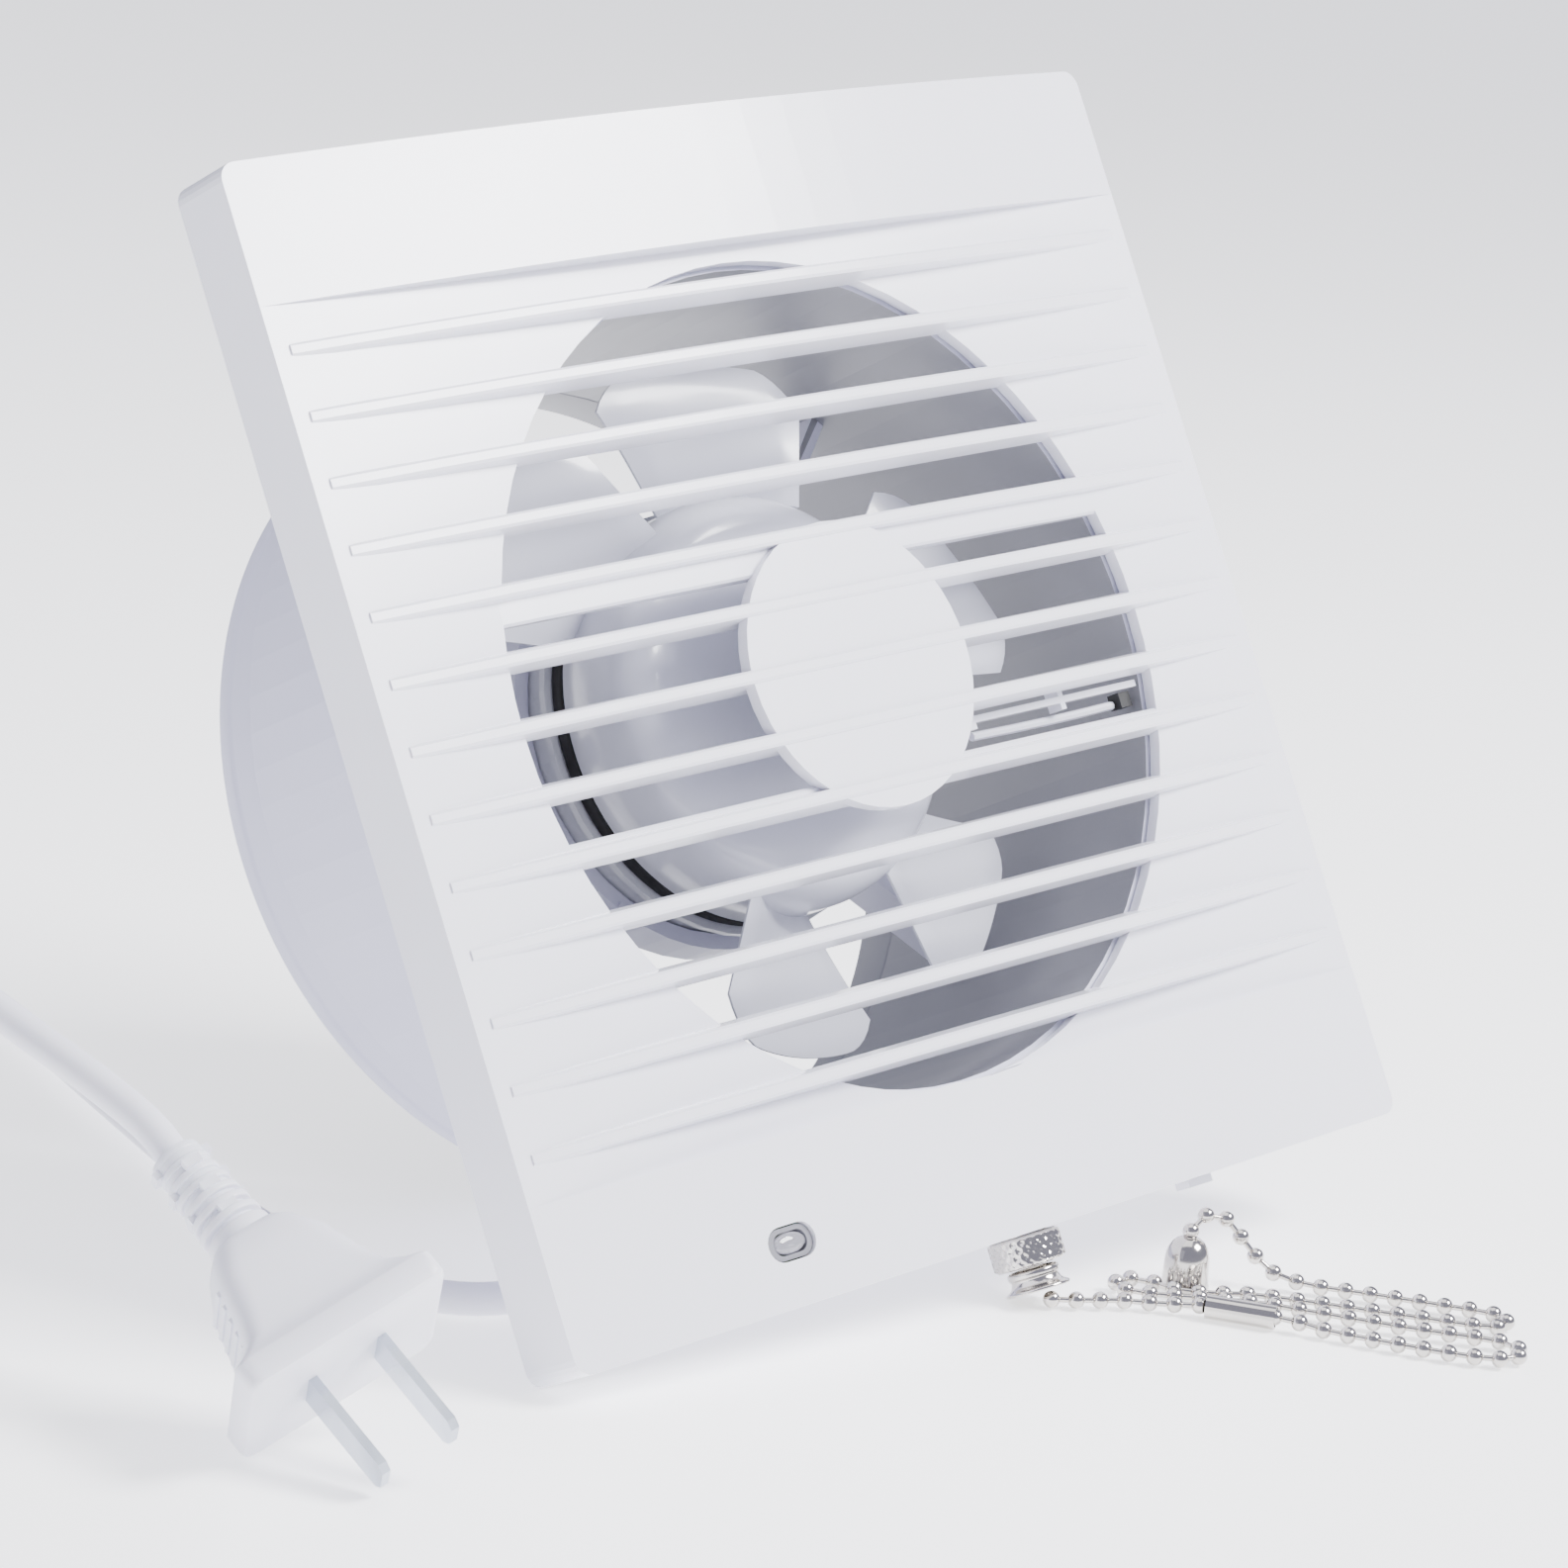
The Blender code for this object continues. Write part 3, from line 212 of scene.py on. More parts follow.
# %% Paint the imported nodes
PAINT = {
    ABS_COVER: ["front_grille", "lead_support_bar", "cover_clip"],
    ABS_DUCT: ["rear_housing", "outlet_ring"],
    ABS_FAN: ["impeller"],
    ABS_CUP: ["motor_cup"],
    NICKEL: ["switch_sleeve", "switch_nut", "switch_mouth", "pull_plunger", "pull_chain",
             "chain_connector", "chain_bell"],
    BLADE: ["plug_blade_1", "plug_blade_2"],
    ZINC: ["cup_screw_1", "cup_screw_2", "motor_shaft", "bearing_bracket_front",
           "bearing_bracket_rear", "motor_screw_1", "motor_screw_2", "thrust_washer",
           "impeller_nut", "pull_spring", "terminal_screw_1", "terminal_screw_2", "housing_screw_1",
           "housing_screw_2", "housing_screw_3", "housing_screw_4"],
    IRON: ["stator_core", "rotor"],
    COPPER: ["stator_coil"],
    BRONZE: ["bearing_front", "bearing_rear"],
    NYLON: ["coil_bobbin", "terminal_block"],
    BLACK_RUBBER_AND_GAP_SHADOW: ["motor_seal_ring", "lead_grommet"],
    GREY_PC: ["led_bezel", "switch_body"],
    CLEAR_PC: ["led_lens"],
    PVC: ["motor_lead", "cord_gland", "mains_cord_fan_end", "mains_cord_coil",
          "mains_cord_plug_end", "plug_body", "plug_strain_relief"],
    BOARD: ["led_board"],
}
for mat, names in PAINT.items():
    for name in names:
        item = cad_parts[name]
        item.data.materials.clear()
        item.data.materials.append(mat)
print("painted", sum(len(names) for names in PAINT.values()), "nodes")

# %% [markdown]
# ## Mesh helpers
# Two ways of making a solid cover nearly every moulding: skin a row of equal rings, or turn
# a profile about an axis. Both work in millimetres, and one function finishes the mesh and
# puts it where a matrix says. Outlines get rounded corners from a small fillet function.


# %% Loft, turn and finish
def solid(name, bm, mat, matrix=None, smooth=40.0, body="base"):
    """Finish a bmesh as a piece of a body, placed by a matrix and smoothed by angle."""
    bmesh.ops.remove_doubles(bm, verts=bm.verts[:], dist=1e-7)
    bmesh.ops.recalc_face_normals(bm, faces=bm.faces[:])
    mesh = bpy.data.meshes.new(name)
    bm.to_mesh(mesh)
    bm.free()
    mesh.transform(FAN if matrix is None else matrix)
    mesh.materials.append(mat)
    item = bpy.data.objects.new(name, mesh)
    bpy.context.scene.collection.objects.link(item)
    mesh.shade_smooth()
    mesh.set_sharp_from_angle(angle=math.radians(smooth))
    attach(item, body)
    return item


def skin(bm, rings, closed=False):
    """Faces between neighbouring rings of points, capped at the ends or closed on themselves."""
    rows = [[bm.verts.new(Vector(p) * MM) for p in ring] for ring in rings]
    pairs = list(zip(rows[:-1], rows[1:])) + ([(rows[-1], rows[0])] if closed else [])
    for a, b in pairs:
        for i in range(len(a)):
            j = (i + 1) % len(a)
            bm.faces.new((a[i], a[j], b[j], b[i]))
    if not closed:
        bm.faces.new(rows[0][::-1])
        bm.faces.new(rows[-1])


def turn(bm, profile, steps, axis="Y", centre=(0.0, 0.0)):
    """Closed (radius, height) profile turned about an axis of the fan."""
    rings = []
    cx, cy = centre
    for k in range(steps):
        a = 2 * math.pi * k / steps
        if axis == "Y":
            rings.append([(cx + r * math.cos(a), h, cy + r * math.sin(a)) for r, h in profile])
        else:
            rings.append([(cx + r * math.cos(a), cy + r * math.sin(a), h) for r, h in profile])
    skin(bm, rings, closed=True)


def fillet(points, radius, steps=5):
    """Closed outline with each corner rounded."""
    made = []
    for i, p in enumerate(points):
        p = Vector(p)
        a = Vector(points[i - 1]) - p
        b = Vector(points[(i + 1) % len(points)]) - p
        reach = min(radius, 0.45 * a.length, 0.45 * b.length)
        start = p + a.normalized() * reach
        end = p + b.normalized() * reach
        for k in range(steps + 1):
            t = k / steps
            made.append(tuple((1 - t) ** 2 * start + 2 * t * (1 - t) * p + t * t * end))
    return made


print("mesh helpers ready")

# %% [markdown]
# ## Front cover
# The cover is one moulding: a square tray whose front bows forward 5 mm, a recessed flat plate
# with a round opening, and thirteen ribs that follow the bow and die away into the plate at
# both ends. Two short bars fill the gap between a rib and the middle disc. The CAD's own
# cover holds the pockets and holes, so it is kept as the body of the moulding, its facets are
# smoothed and its edges are eased by the small radius that a real tool leaves.

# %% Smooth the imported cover
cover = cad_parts["front_grille"]
cover.data.shade_smooth()
cover.data.set_sharp_from_angle(angle=math.radians(28))
ease = cover.modifiers.new("tool_radius", "BEVEL")
ease.width = 0.28 * MM
ease.segments = 2
ease.limit_method = "ANGLE"
ease.angle_limit = math.radians(50)
ease.harden_normals = True
print("cover:", len(cover.data.polygons), "faces")

# %% [markdown]
# ## Duct
# The drum, flange and struts are one moulding, kept as packed and shaded smooth. Only the
# outlet ring at the rear is turned again in fine steps, because its rim is the drum's
# outline. Faces that look inwards are painted a darker grey, as painted shade inside the drum.

# %% Drum and outlet ring
for name in ("rear_housing", "outlet_ring", "motor_cup", "motor_seal_ring"):
    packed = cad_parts[name]
    packed.data.shade_smooth()
    packed.data.set_sharp_from_angle(angle=math.radians(30))
back = FAN.inverted()


def paint_shade_inside(item, outer):
    """Faces that look towards the axis inside the drum take a darker grey as painted shade."""
    item.data.materials.append(ABS_INSIDE_PAINTED_SHADE)
    for face in item.data.polygons:
        at = back @ face.center / MM
        facing = back.to_3x3() @ face.normal
        radial = math.hypot(at.x, at.z)
        if at.y > 3.0 and 50.0 < radial < outer and facing.x * at.x + facing.z * at.z < 0:
            face.material_index = 1


# painted shade: the inward faces of the drum and of the outlet ring get the darker grey
paint_shade_inside(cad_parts["rear_housing"], 73.0)
bm = bmesh.new()
turn(bm, fillet([(DUCT_R - 0.5, SEAM), (DUCT_R - 0.5, 76.6), (DUCT_R, 77.4), (DUCT_R, DUCT_END),
                 (DUCT_R - DUCT_WALL, DUCT_END), (DUCT_R - DUCT_WALL, SEAM)], 0.5, 3), 180)
outlet = solid("outlet_ring_round", bm, ABS_DUCT)
paint_shade_inside(outlet, 73.0)
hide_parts("outlet_ring")
print("outlet ring made")

# %% [markdown]
# ## Lamp
# The running lamp sits behind a small oval window of clear plastic. Its dome is a squashed
# ball set in the bezel, standing just under the face of the cover.

# %% Lamp dome
bm = bmesh.new()
dome_at = Vector((LAMP[0], bow(LAMP[0]) + 1.0, LAMP[1]))
oval = Matrix.Translation(dome_at * MM) @ Matrix.Diagonal((3.6, 0.9, 1.8, 1.0))
bmesh.ops.create_uvsphere(bm, u_segments=32, v_segments=16, radius=MM, matrix=oval)
dome = solid("lamp_dome", bm, CLEAR_PC, smooth=60.0)
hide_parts("led_lens")
print("lamp made")

# %% [markdown]
# ## Dark ring in the hub gap
# A black ring sits in the gap between the spinning hub and the still motor cup as painted
# shadow of that gap. It is the darkest line in the fan, so it is turned finely with a rounded lip.

# %% Dark ring, painted shadow of the hub gap
bm = bmesh.new()
turn(bm, fillet([(36.9, 31.8), (36.9, 34.7), (34.4, 34.7), (34.4, 31.8)], 0.5, 3), 160)
gap_shadow_ring = solid("hub_gap_painted_shadow", bm, BLACK_RUBBER_AND_GAP_SHADOW)
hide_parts("motor_seal_ring")
print("seal made")

# %% [markdown]
# ## Impeller
# A deep cup of a hub with five twisted blades, unevenly spaced to break up their hum, moulded
# in one. The hub is turned with a soft shoulder. Each blade is a grid lifted along its sweep,
# 1.5 mm thick, and cut back at the tip's leading corner.


# %% Hub and blades
BLADE_LEADS = (62.0, 118.0, 238.0, 289.0, 356.0)
ACROSS = 24
UP = 10
ROOT_R = 36.2
TIP_R = 62.0


def blade(bm, lead):
    """One closed blade that starts at an angle in degrees and sweeps from there."""
    sheets = []
    for side in (-0.75, 0.75):
        grid = []
        for j in range(UP + 1):
            v = j / UP
            row = []
            for i in range(ACROSS + 1):
                u = i / ACROSS
                tip = TIP_R - 6.5 * max(0.0, 1 - u / 0.22) ** 1.5 - 4.0 * max(0.0, (u - 0.8) / 0.2) ** 2
                r = ROOT_R + (tip - ROOT_R) * v
                a = math.radians(lead + (35.0 + 5.0 * v) * u)
                thin = side * min(1.0, 0.35 + 6 * min(u, 1 - u), 0.35 + 6 * (1 - v))
                y = 17.6 + 2.4 * v + (12.4 - 3.6 * v) * u + 1.1 * math.sin(math.pi * u) + thin
                row.append(bm.verts.new(Vector((r * math.cos(a), y, r * math.sin(a))) * MM))
            grid.append(row)
        sheets.append(grid)
    low, high = sheets
    for j in range(UP):
        for i in range(ACROSS):
            bm.faces.new((low[j][i], low[j][i + 1], low[j + 1][i + 1], low[j + 1][i]))
            bm.faces.new((high[j][i], high[j + 1][i], high[j + 1][i + 1], high[j][i + 1]))
    for i in range(ACROSS):
        bm.faces.new((low[0][i], high[0][i], high[0][i + 1], low[0][i + 1]))
        bm.faces.new((low[-1][i], low[-1][i + 1], high[-1][i + 1], high[-1][i]))
    for j in range(UP):
        bm.faces.new((low[j][0], low[j + 1][0], high[j + 1][0], high[j][0]))
        bm.faces.new((low[j][-1], high[j][-1], high[j + 1][-1], low[j + 1][-1]))


bm = bmesh.new()
hub_profile = [(3.3, HUB_Y), (14.0, HUB_Y), (24.0, HUB_Y + 0.25), (30.0, HUB_Y + 0.9),
               (32.0, HUB_Y + 1.4), (33.6, HUB_Y + 2.1), (34.8, HUB_Y + 3.1), (35.7, HUB_Y + 4.3),
               (36.3, HUB_Y + 5.6), (36.7, HUB_Y + 7.2), (HUB_R, HUB_Y + 9.0), (HUB_R, 31.2),
               (36.8, 31.4), (35.2, 31.4), (35.0, 31.2), (35.0, HUB_Y + 6.0), (32.6, HUB_Y + 3.2),
               (7.5, HUB_Y + 2.4), (7.5, HUB_Y + 6.4), (3.3, HUB_Y + 6.4)]
turn(bm, hub_profile, 144)
for lead in BLADE_LEADS:
    blade(bm, lead)
impeller = solid("impeller_moulding", bm, ABS_FAN, smooth=50.0, body="impeller")
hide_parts("impeller")
print("impeller:", len(impeller.data.polygons), "faces")

# %% [markdown]
# ## Pull switch
# A threaded sleeve held by a knurled nut, ending in a flared mouth that the chain leaves
# through. The knurl is the diamond kind: two sets of spiral grooves, made by pushing alternate
# points of a fine turned grid in and out. Plating rounds everything slightly.

# %% Knurled nut and flared mouth
TEETH = 26
KNURL_DEPTH = 0.42
NUT_R = 6.4
ROUND = [2 * math.pi * k / 96 for k in range(96)]
bm = bmesh.new()
rings = []
levels = [(-100.4, 5.7), (-100.8, 6.2)] + [(-101.0 - 0.35 * n, NUT_R) for n in range(13)]
for level, (z, base) in enumerate(levels + [(-105.4, 6.2), (-105.8, 5.7)]):
    ring = []
    for a in ROUND:
        r = base
        if base == NUT_R:
            one = math.sin(0.5 * (TEETH * a + 0.9 * level))
            other = math.sin(0.5 * (TEETH * a - 0.9 * level))
            r -= KNURL_DEPTH * abs(one) * abs(other)
        ring.append((SWITCH[0] + r * math.cos(a), SWITCH[1] + r * math.sin(a), z))
    rings.append(ring)
inner = [[(SWITCH[0] + 4.7 * math.cos(a), SWITCH[1] + 4.7 * math.sin(a), z) for a in ROUND]
         for z in (-105.8, -100.4)]
skin(bm, rings + inner, closed=True)
nut = solid("switch_nut_knurled", bm, NICKEL, smooth=60.0)
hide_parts("switch_nut")
bm = bmesh.new()
turn(bm, fillet([(3.9, -106.1), (4.6, -106.6), (4.6, -107.4), (4.1, -107.9), (4.5, -109.0),
                 (MOUTH_R, -109.7), (MOUTH_R, MOUTH_Z), (4.9, MOUTH_Z), (3.4, -109.0),
                 (3.1, -106.1)], 0.35, 3), 72, "Z", SWITCH)
mouth = solid("switch_mouth_flare", bm, NICKEL)
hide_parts("switch_mouth")
print("switch parts made")

# %% [markdown]
# ## Return spring
# A small wire spring inside the switch pushes the plunger back. A spring shortens when the
# chain is pulled. Here it is wound again as a mesh of its own, from its top down to its fixed
# lower end, where the CAD spring has the same wire and turns.

# %% Wind the spring
SPRING_TOP = -86.6
SPRING_LOW = -95.8
SPRING_R = 2.2
WIRE_R = 0.25
TURNS = 5
bm = bmesh.new()
rings = []
for k in range(16 * TURNS + 1):
    a = 2 * math.pi * k / 16
    out = Vector((math.cos(a), math.sin(a), 0.0))
    at = Vector((*SWITCH, SPRING_TOP + (SPRING_LOW - SPRING_TOP) * k / (16 * TURNS))) + SPRING_R * out
    rings.append([at + WIRE_R * (math.cos(b) * out + Vector((0, 0, math.sin(b))))
                  for b in (math.pi * n / 4 for n in range(8))])
skin(bm, rings)
spring = solid("return_spring", bm, ZINC, smooth=60.0)
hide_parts("pull_spring")
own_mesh(spring)
print("spring made")

# %% [markdown]
# ## Ball chain
# Hollow beads are pressed round short wires, so the chain is beads on a pitch with thin links
# between them. A smooth line is laid through points on the table, then walked at the bead
# pitch. It lies on the table, passes through the joining sleeve and climbs to the bell's top.

# %% Route, beads and links
CHAIN_ROUTE = [(17.6, -73.6, 1.6), (20.6, -75.6, 1.6), (24.5, -77.6, 1.6), (29.5, -80.4, 1.6),
               (34.0, -84.6, 1.6), (38.2, -89.6, 2.2), (46.0, -101.4, 2.2), (49.4, -108.0, 1.6),
               (53.4, -115.4, 1.6), (57.8, -122.8, 1.6), (62.4, -129.2, 1.6), (66.6, -132.8, 1.6),
               (71.0, -132.6, 1.6), (73.6, -129.2, 1.6), (72.6, -124.8, 1.6), (68.4, -119.6, 1.6),
               (63.4, -112.8, 1.6), (58.8, -105.8, 1.6), (54.4, -98.8, 1.6), (49.8, -91.6, 1.6),
               (43.6, -86.2, 1.6), (37.4, -80.6, 1.6), (33.6, -76.6, 1.6), (34.2, -72.6, 1.6),
               (38.0, -71.2, 1.6), (40.8, -74.0, 1.6), (41.6, -79.4, 1.6), (46.6, -84.4, 1.6),
               (51.4, -87.2, 1.6), (56.6, -93.0, 1.6), (61.4, -99.2, 1.6), (66.4, -105.8, 1.6),
               (71.4, -112.2, 1.6), (76.0, -118.2, 1.6), (79.8, -120.8, 1.6), (83.6, -118.6, 1.6),
               (83.8, -114.2, 1.6), (79.4, -108.0, 1.6), (74.6, -101.0, 1.6), (69.8, -94.4, 1.6),
               (65.6, -88.8, 1.7), (61.8, -84.0, 3.0), (58.6, -80.4, 7.0), (56.0, -78.2, 11.2),
               (52.8, -76.8, 12.7), (49.8, -76.4, 12.4), (47.7, -76.5, 10.4)]


def smooth_line(points, steps=8):
    """Catmull-Rom line through the points."""
    pts = [Vector(p) for p in points]
    pts = [2 * pts[0] - pts[1]] + pts + [2 * pts[-1] - pts[-2]]
    made = []
    for i in range(1, len(pts) - 2):
        a, b, c, d = pts[i - 1:i + 3]
        for k in range(steps):
            t = k / steps
            made.append(0.5 * (2 * b + (c - a) * t + (2 * a - 5 * b + 4 * c - d) * t ** 2
                               + (3 * b - a - 3 * c + d) * t ** 3))
    made.append(pts[-2])
    return made


def walk(line, pitch):
    """Points at even distances along a line, ends included."""
    total = sum((b - a).length for a, b in zip(line[:-1], line[1:]))
    count = round(total / pitch)
    made = [line[0]]
    done = 0.0
    for a, b in zip(line[:-1], line[1:]):
        span = (b - a).length
        while len(made) < count and done + span >= total * len(made) / count:
            made.append(a.lerp(b, (total * len(made) / count - done) / span))
        done += span
    made.append(line[-1])
    return made, total


chain_line = smooth_line(CHAIN_ROUTE)
beads, chain_length = walk(chain_line, BEAD_PITCH)
bm = bmesh.new()
sleeve_a = Vector(CHAIN_ROUTE[5])
sleeve_b = Vector(CHAIN_ROUTE[6])
for p in beads:
    along = (p - sleeve_a).dot(sleeve_b - sleeve_a) / (sleeve_b - sleeve_a).length_squared
    near = (p - sleeve_a.lerp(sleeve_b, min(max(along, 0), 1))).length
    shrink = 0.96 if near > 1.5 or not 0.08 < along < 0.9 else 0.9
    bmesh.ops.create_uvsphere(bm, u_segments=20, v_segments=12, radius=0.5 * BEAD_D * shrink * MM,
                              matrix=Matrix.Translation(p * MM))
for a, b in zip(beads[:-1], beads[1:]):
    spin = (b - a).to_track_quat("Z", "Y").to_matrix().to_4x4()
    bmesh.ops.create_cone(bm, segments=8, radius1=0.5 * MM, radius2=0.5 * MM, depth=(b - a).length * MM,
                          matrix=Matrix.Translation(0.5 * (a + b) * MM) @ spin)
chain = solid("ball_chain", bm, NICKEL, Matrix.Identity(4), smooth=60.0)
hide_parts("pull_chain")
print("chain", round(chain_length), "mm,", len(beads), "beads")

# %% [markdown]
# ## Bell
# The chain ends in a small domed bell for the fingers. It is turned thin, with a rolled lip,
# and stands on the table.

# %% Bell
BELL_AT = (47.5, -76.5)
bm = bmesh.new()
bell_profile = [(0.5, 9.55), (1.2, 9.45), (2.0, 9.1), (2.8, 8.45), (3.35, 7.6), (3.7, 6.6),
                (3.9, 5.4), (4.0, 3.0), (4.05, 1.4), (4.25, 0.8), (4.25, 0.35), (3.95, 0.12),
                (3.4, 0.12), (3.2, 1.0), (3.1, 5.4), (2.4, 7.2), (0.5, 8.0)]
turn(bm, bell_profile, 72, "Z", BELL_AT)
bell = solid("chain_bell_dome", bm, NICKEL, Matrix.Identity(4), smooth=50.0)
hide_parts("chain_bell")
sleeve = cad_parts["chain_connector"]
sleeve.data.shade_smooth()
sleeve.data.set_sharp_from_angle(angle=math.radians(30))
print("bell made")

# %% [markdown]
# ## Mains cord
# Round PVC flex, 5.6 mm. It leaves the gland behind the cover, passes under the duct, lies on
# the table behind the plug, is wound three times in a round coil and comes up again to the
# plug. The whole cord is one line swept by a circle, so its length is a real one.

# %% Cord route and sweep
CORD_ONE = [(68.5, -20.0, 11.5), (64.5, -12.5, 7.2), (56.5, -8.5, 4.2), (46.0, -8.0, 3.0),
            (34.0, -10.0, 3.0), (20.0, -13.0, 3.0), (5.0, -16.5, 3.0), (-10.0, -20.0, 3.0),
            (-25.0, -24.0, 3.0), (-40.0, -28.0, 3.0), (-54.0, -32.0, 3.0), (-66.0, -34.3, 3.0),
            (-75.0, -32.6, 3.0), (-81.1, -26.7, 3.0), (-84.4, -17.0, 3.0), (-85.3, -5.2, 3.0),
            (-84.6, 9.3, 3.0), (-81.4, 27.2, 3.0), (-75.7, 48.5, 3.0), (-67.8, 76.6, 3.0),
            (-61.7, 98.1, 3.0), (-54.3, 123.7, 3.0), (-48.3, 148.0, 3.0), (-50.0, 168.0, 3.0),
            (-59.0, 188.0, 3.0), (-75.0, 205.0, 3.0), (-96.0, 216.0, 3.0), (-120.0, 220.2, 3.0),
            (-140.0, 219.8, 3.0)]
COIL = Vector((-150.0, 165.0, 0.0))
COIL_R = 54.6
LANE = 5.8
LAYER = 5.7
CORD_TWO = [(-205.0, 146.0, 13.6), (-203.5, 133.0, 20.5), (-200.5, 120.0, 29.0),
            (-196.5, 106.0, 38.0), (-191.5, 91.0, 48.0), (-186.0, 74.0, 57.5), (-180.0, 57.0, 64.5),
            (-173.0, 41.0, 67.5), (-166.0, 26.0, 65.5), (-160.0, 12.0, 61.0), (-156.0, 0.0, 56.2),
            (-152.5, -12.0, 51.6), (-149.7, -24.0, 47.8)]
PLUG_AT = Vector((-138.5, -79.0, 15.9))


def plug_matrix(heading, pitch, roll):
    """Plug axes: X across the blades, Y towards their tips, Z up, from three angles."""
    h, p, r = (math.radians(v) for v in (heading, pitch, roll))
    ahead = Vector((math.cos(p) * math.sin(h), -math.cos(p) * math.cos(h), -math.sin(p)))
    across = Vector((math.cos(h), math.sin(h), 0.0))
    above = ahead.cross(across)
    side = math.cos(r) * across + math.sin(r) * above
    up = math.cos(r) * above - math.sin(r) * across
    return Matrix.Translation(PLUG_AT * MM) @ Matrix((-side, ahead, up)).transposed().to_4x4()


PLUG = plug_matrix(11.0, 32.0, 29.0)
gland_run = [FAN @ (Vector((GLAND[0], y, GLAND[1])) * MM) / MM for y in (5.0, 16.0, 27.0, 36.0)]
turns = []
for k in range(3 * 36 + 7):
    angle = math.radians(105.0 + 10.0 * k)
    lane = k / 36
    inward = min(max(lane - 0.9, 0.0) / 0.2, 1.0) - min(max(lane - 2.8, 0.0) / 0.2, 1.0)
    lift = min(max(lane - 1.9, 0.0) / 0.2, 1.0)
    radius = COIL_R - LANE * inward
    turns.append(COIL + Vector((radius * math.cos(angle), radius * math.sin(angle), 3.0 + LAYER * lift)))
tail = [PLUG @ (Vector((0.0, y, 0.0)) * MM) / MM for y in (-51.0, -43.0, -34.0)]
cord_line = smooth_line(list(gland_run) + CORD_ONE + turns + CORD_TWO + tail, 3)
curve = bpy.data.curves.new("mains_cord", "CURVE")
curve.dimensions = "3D"
curve.bevel_depth = 0.5 * CORD_D * MM
curve.bevel_resolution = 5
curve.use_fill_caps = True
spline = curve.splines.new("POLY")
spline.points.add(len(cord_line) - 1)
for knot, p in zip(spline.points, cord_line):
    knot.co = (p.x * MM, p.y * MM, p.z * MM, 1.0)
spline.use_smooth = True
curve.materials.append(PVC)
cord = bpy.data.objects.new("mains_cord", curve)
bpy.context.scene.collection.objects.link(cord)
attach(cord, "base")
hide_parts("mains_cord_fan_end", "mains_cord_coil", "mains_cord_plug_end")

# %% [markdown]
# ## Plug
# A moulded two-blade plug: a wedge of a body that widens to a flange, with finger grips down
# its sides, and a strain relief with staggered slots that lets the cord bend without kinking.
# It is skinned through rounded sections, and the grips are raised bars.


# %% Plug body, relief and grips
def plug_section(y, half_w, half_h, radius):
    corners = [(half_w, half_h), (-half_w, half_h), (-half_w, -half_h), (half_w, -half_h)]
    return [(x, y, z) for x, z in fillet(corners, radius, 6)]


bm = bmesh.new()
skin(bm, [plug_section(*row) for row in (
    (-25.6, 5.2, 5.0, 4.0), (-25.2, 6.2, 5.9, 4.4), (-23.8, 7.6, 6.9, 4.6), (-19.0, 10.0, 8.2, 4.4),
    (-12.0, 11.6, 9.1, 3.8), (-8.0, 13.0, 9.7, 3.2), (-6.0, 15.4, 10.5, 2.8), (-5.0, 17.2, 11.4, 2.6),
    (-4.4, 17.8, 11.8, 2.6), (-1.0, 17.8, 11.8, 2.6), (-0.3, 17.5, 11.5, 2.6), (0.0, 16.9, 10.9, 2.4))])
for side in (-1, 1):
    for k in range(5):
        y = -19.0 + 2.3 * k
        reach = 9.7 + 0.235 * (y + 19.0)
        rings = []
        for z in (-5.2, -4.8, 4.8, 5.2):
            out = reach + (0.1 if abs(z) > 5 else 0.75)
            rings.append([(side * (reach - 1.0), y, z), (side * out, y + 0.15, z),
                          (side * out, y + 0.95, z), (side * (reach - 1.0), y + 1.1, z)])
        skin(bm, rings)
plug = solid("plug_moulding", bm, PVC, PLUG, smooth=38.0)
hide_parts("plug_body")
bm = bmesh.new()
turn(bm, fillet([(2.85, -25.2), (5.7, -25.2), (5.4, -27.6), (4.1, -28.0), (4.1, -43.8),
                 (2.85, -43.8)], 0.3, 2), 48)
for k in range(7):
    y = -28.6 - 2.3 * k
    size = 5.4 - 0.09 * (k * 2.3)
    turn(bm, fillet([(2.9, y), (size, y), (size - 0.05, y - 1.3), (2.9, y - 1.3)], 0.35, 3), 48)
for k in range(6):
    y = -29.9 - 2.3 * k
    for side in (-1, 1):
        z = side * 3.9
        ring = [(-1.5, z - 1.2), (1.5, z - 1.2), (1.5, z + 1.2), (-1.5, z + 1.2)]
        if k % 2:
            ring = [(b, a) for a, b in ring]
        skin(bm, [[(a, y + 0.2, b) for a, b in ring], [(a, y - 1.2, b) for a, b in ring]])
relief = solid("plug_relief_moulding", bm, PVC, PLUG, smooth=38.0)
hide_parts("plug_strain_relief")
for k in (1, 2):
    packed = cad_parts["plug_blade_%d" % k]
    soften = packed.modifiers.new("stamped_edge", "BEVEL")
    soften.width = 0.2 * MM
    soften.segments = 2
print("plug made")

# %% [markdown]
# ## Free pieces
# The cord and the chain are free.

print("cord and chain are free pieces")

# %% [markdown]
# ## Table and light
# A white card that glows a little and a cool, dim world give the high-key light of a product
# studio, with a background brighter than the fan's shaded sides. One large panel in front
# lights the cover, a wide one above softens the top, and a weak cool fill reaches the left.

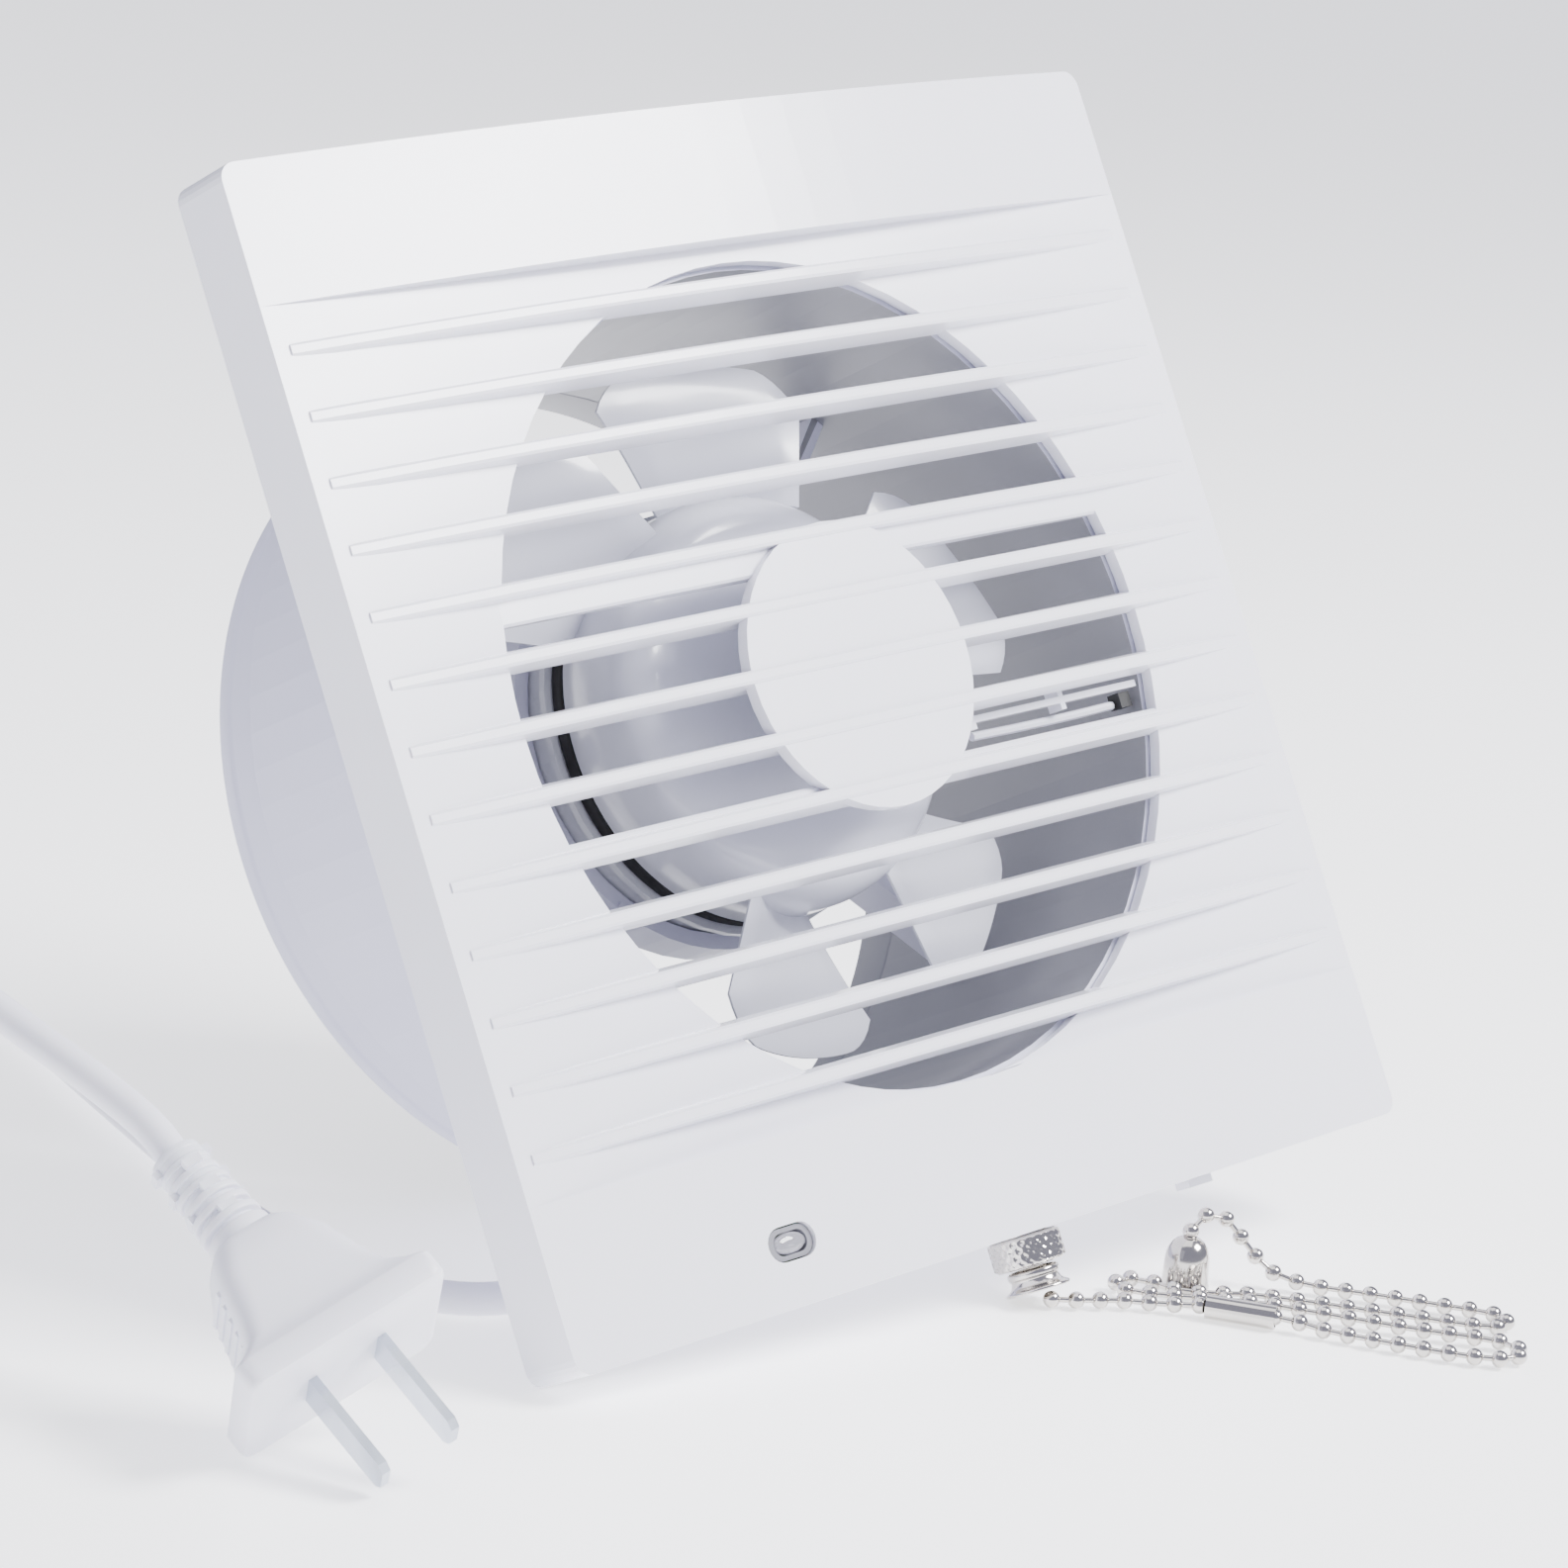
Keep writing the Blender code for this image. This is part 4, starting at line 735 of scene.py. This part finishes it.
# %% Studio
bpy.ops.mesh.primitive_plane_add(size=8.0, location=(0, 0, -0.0002))
table = bpy.context.object
table.name = "table"
table.data.materials.append(material("white_card", "#FFFFFF", "#FBFBFD", 0.4, 40.0, IOR=1.45,
                                    Emission_Color=(1, 1, 1, 1), Emission_Strength=1.25))
world = bpy.data.worlds.new("studio")
bpy.context.scene.world = world
world.use_nodes = True
world.node_tree.nodes["Background"].inputs["Color"].default_value = (0.76, 0.78, 1.0, 1.0)
world.node_tree.nodes["Background"].inputs["Strength"].default_value = 0.62


def panel(name, place, target, size, power, colour=(1, 1, 1)):
    light = bpy.data.lights.new(name, "AREA")
    light.shape = "RECTANGLE"
    light.size, light.size_y = size
    light.energy = power
    light.color = colour
    item = bpy.data.objects.new(name, light)
    item.location = place
    item.rotation_euler = (Vector(target) - Vector(place)).to_track_quat("-Z", "Y").to_euler()
    bpy.context.scene.collection.objects.link(item)


panel("window", (0.75, -0.95, 1.25), (0, 0, 0.1), (0.8, 0.6), 72.0)
panel("top", (-0.1, 0.1, 1.6), (0, 0, 0), (1.4, 1.4), 14.0)
panel("left_fill", (-1.6, -0.2, 0.7), (0, 0, 0.1), (1.0, 1.0), 1.0, (0.84, 0.85, 1.0))
print("lights placed")

# %% [markdown]
# ## Camera
# Three quarters from the left, a little above the table and slightly rolled, with a long lens.

# %% Camera
CAMERA_AT = (-0.598, -0.6526, 0.2677)
look = Vector((0.6652, 0.7156, -0.2131)).normalized()
up = Vector((0.0771, 0.2182, 0.9729))
right = look.cross(up).normalized()
up = right.cross(look)
lens = bpy.data.cameras.new("camera")
lens.lens = 118.9
lens.sensor_width = 36.0
lens.shift_x = 0.0134
lens.shift_y = 0.0091
camera = bpy.data.objects.new("camera", lens)
turned = Matrix((right, up, -look)).transposed().to_4x4()
camera.matrix_world = Matrix.Translation(CAMERA_AT) @ turned
bpy.context.scene.collection.objects.link(camera)
bpy.context.scene.camera = camera
print("camera set")

# %% [markdown]
# ## Finish

# %% Finish
print("finished")
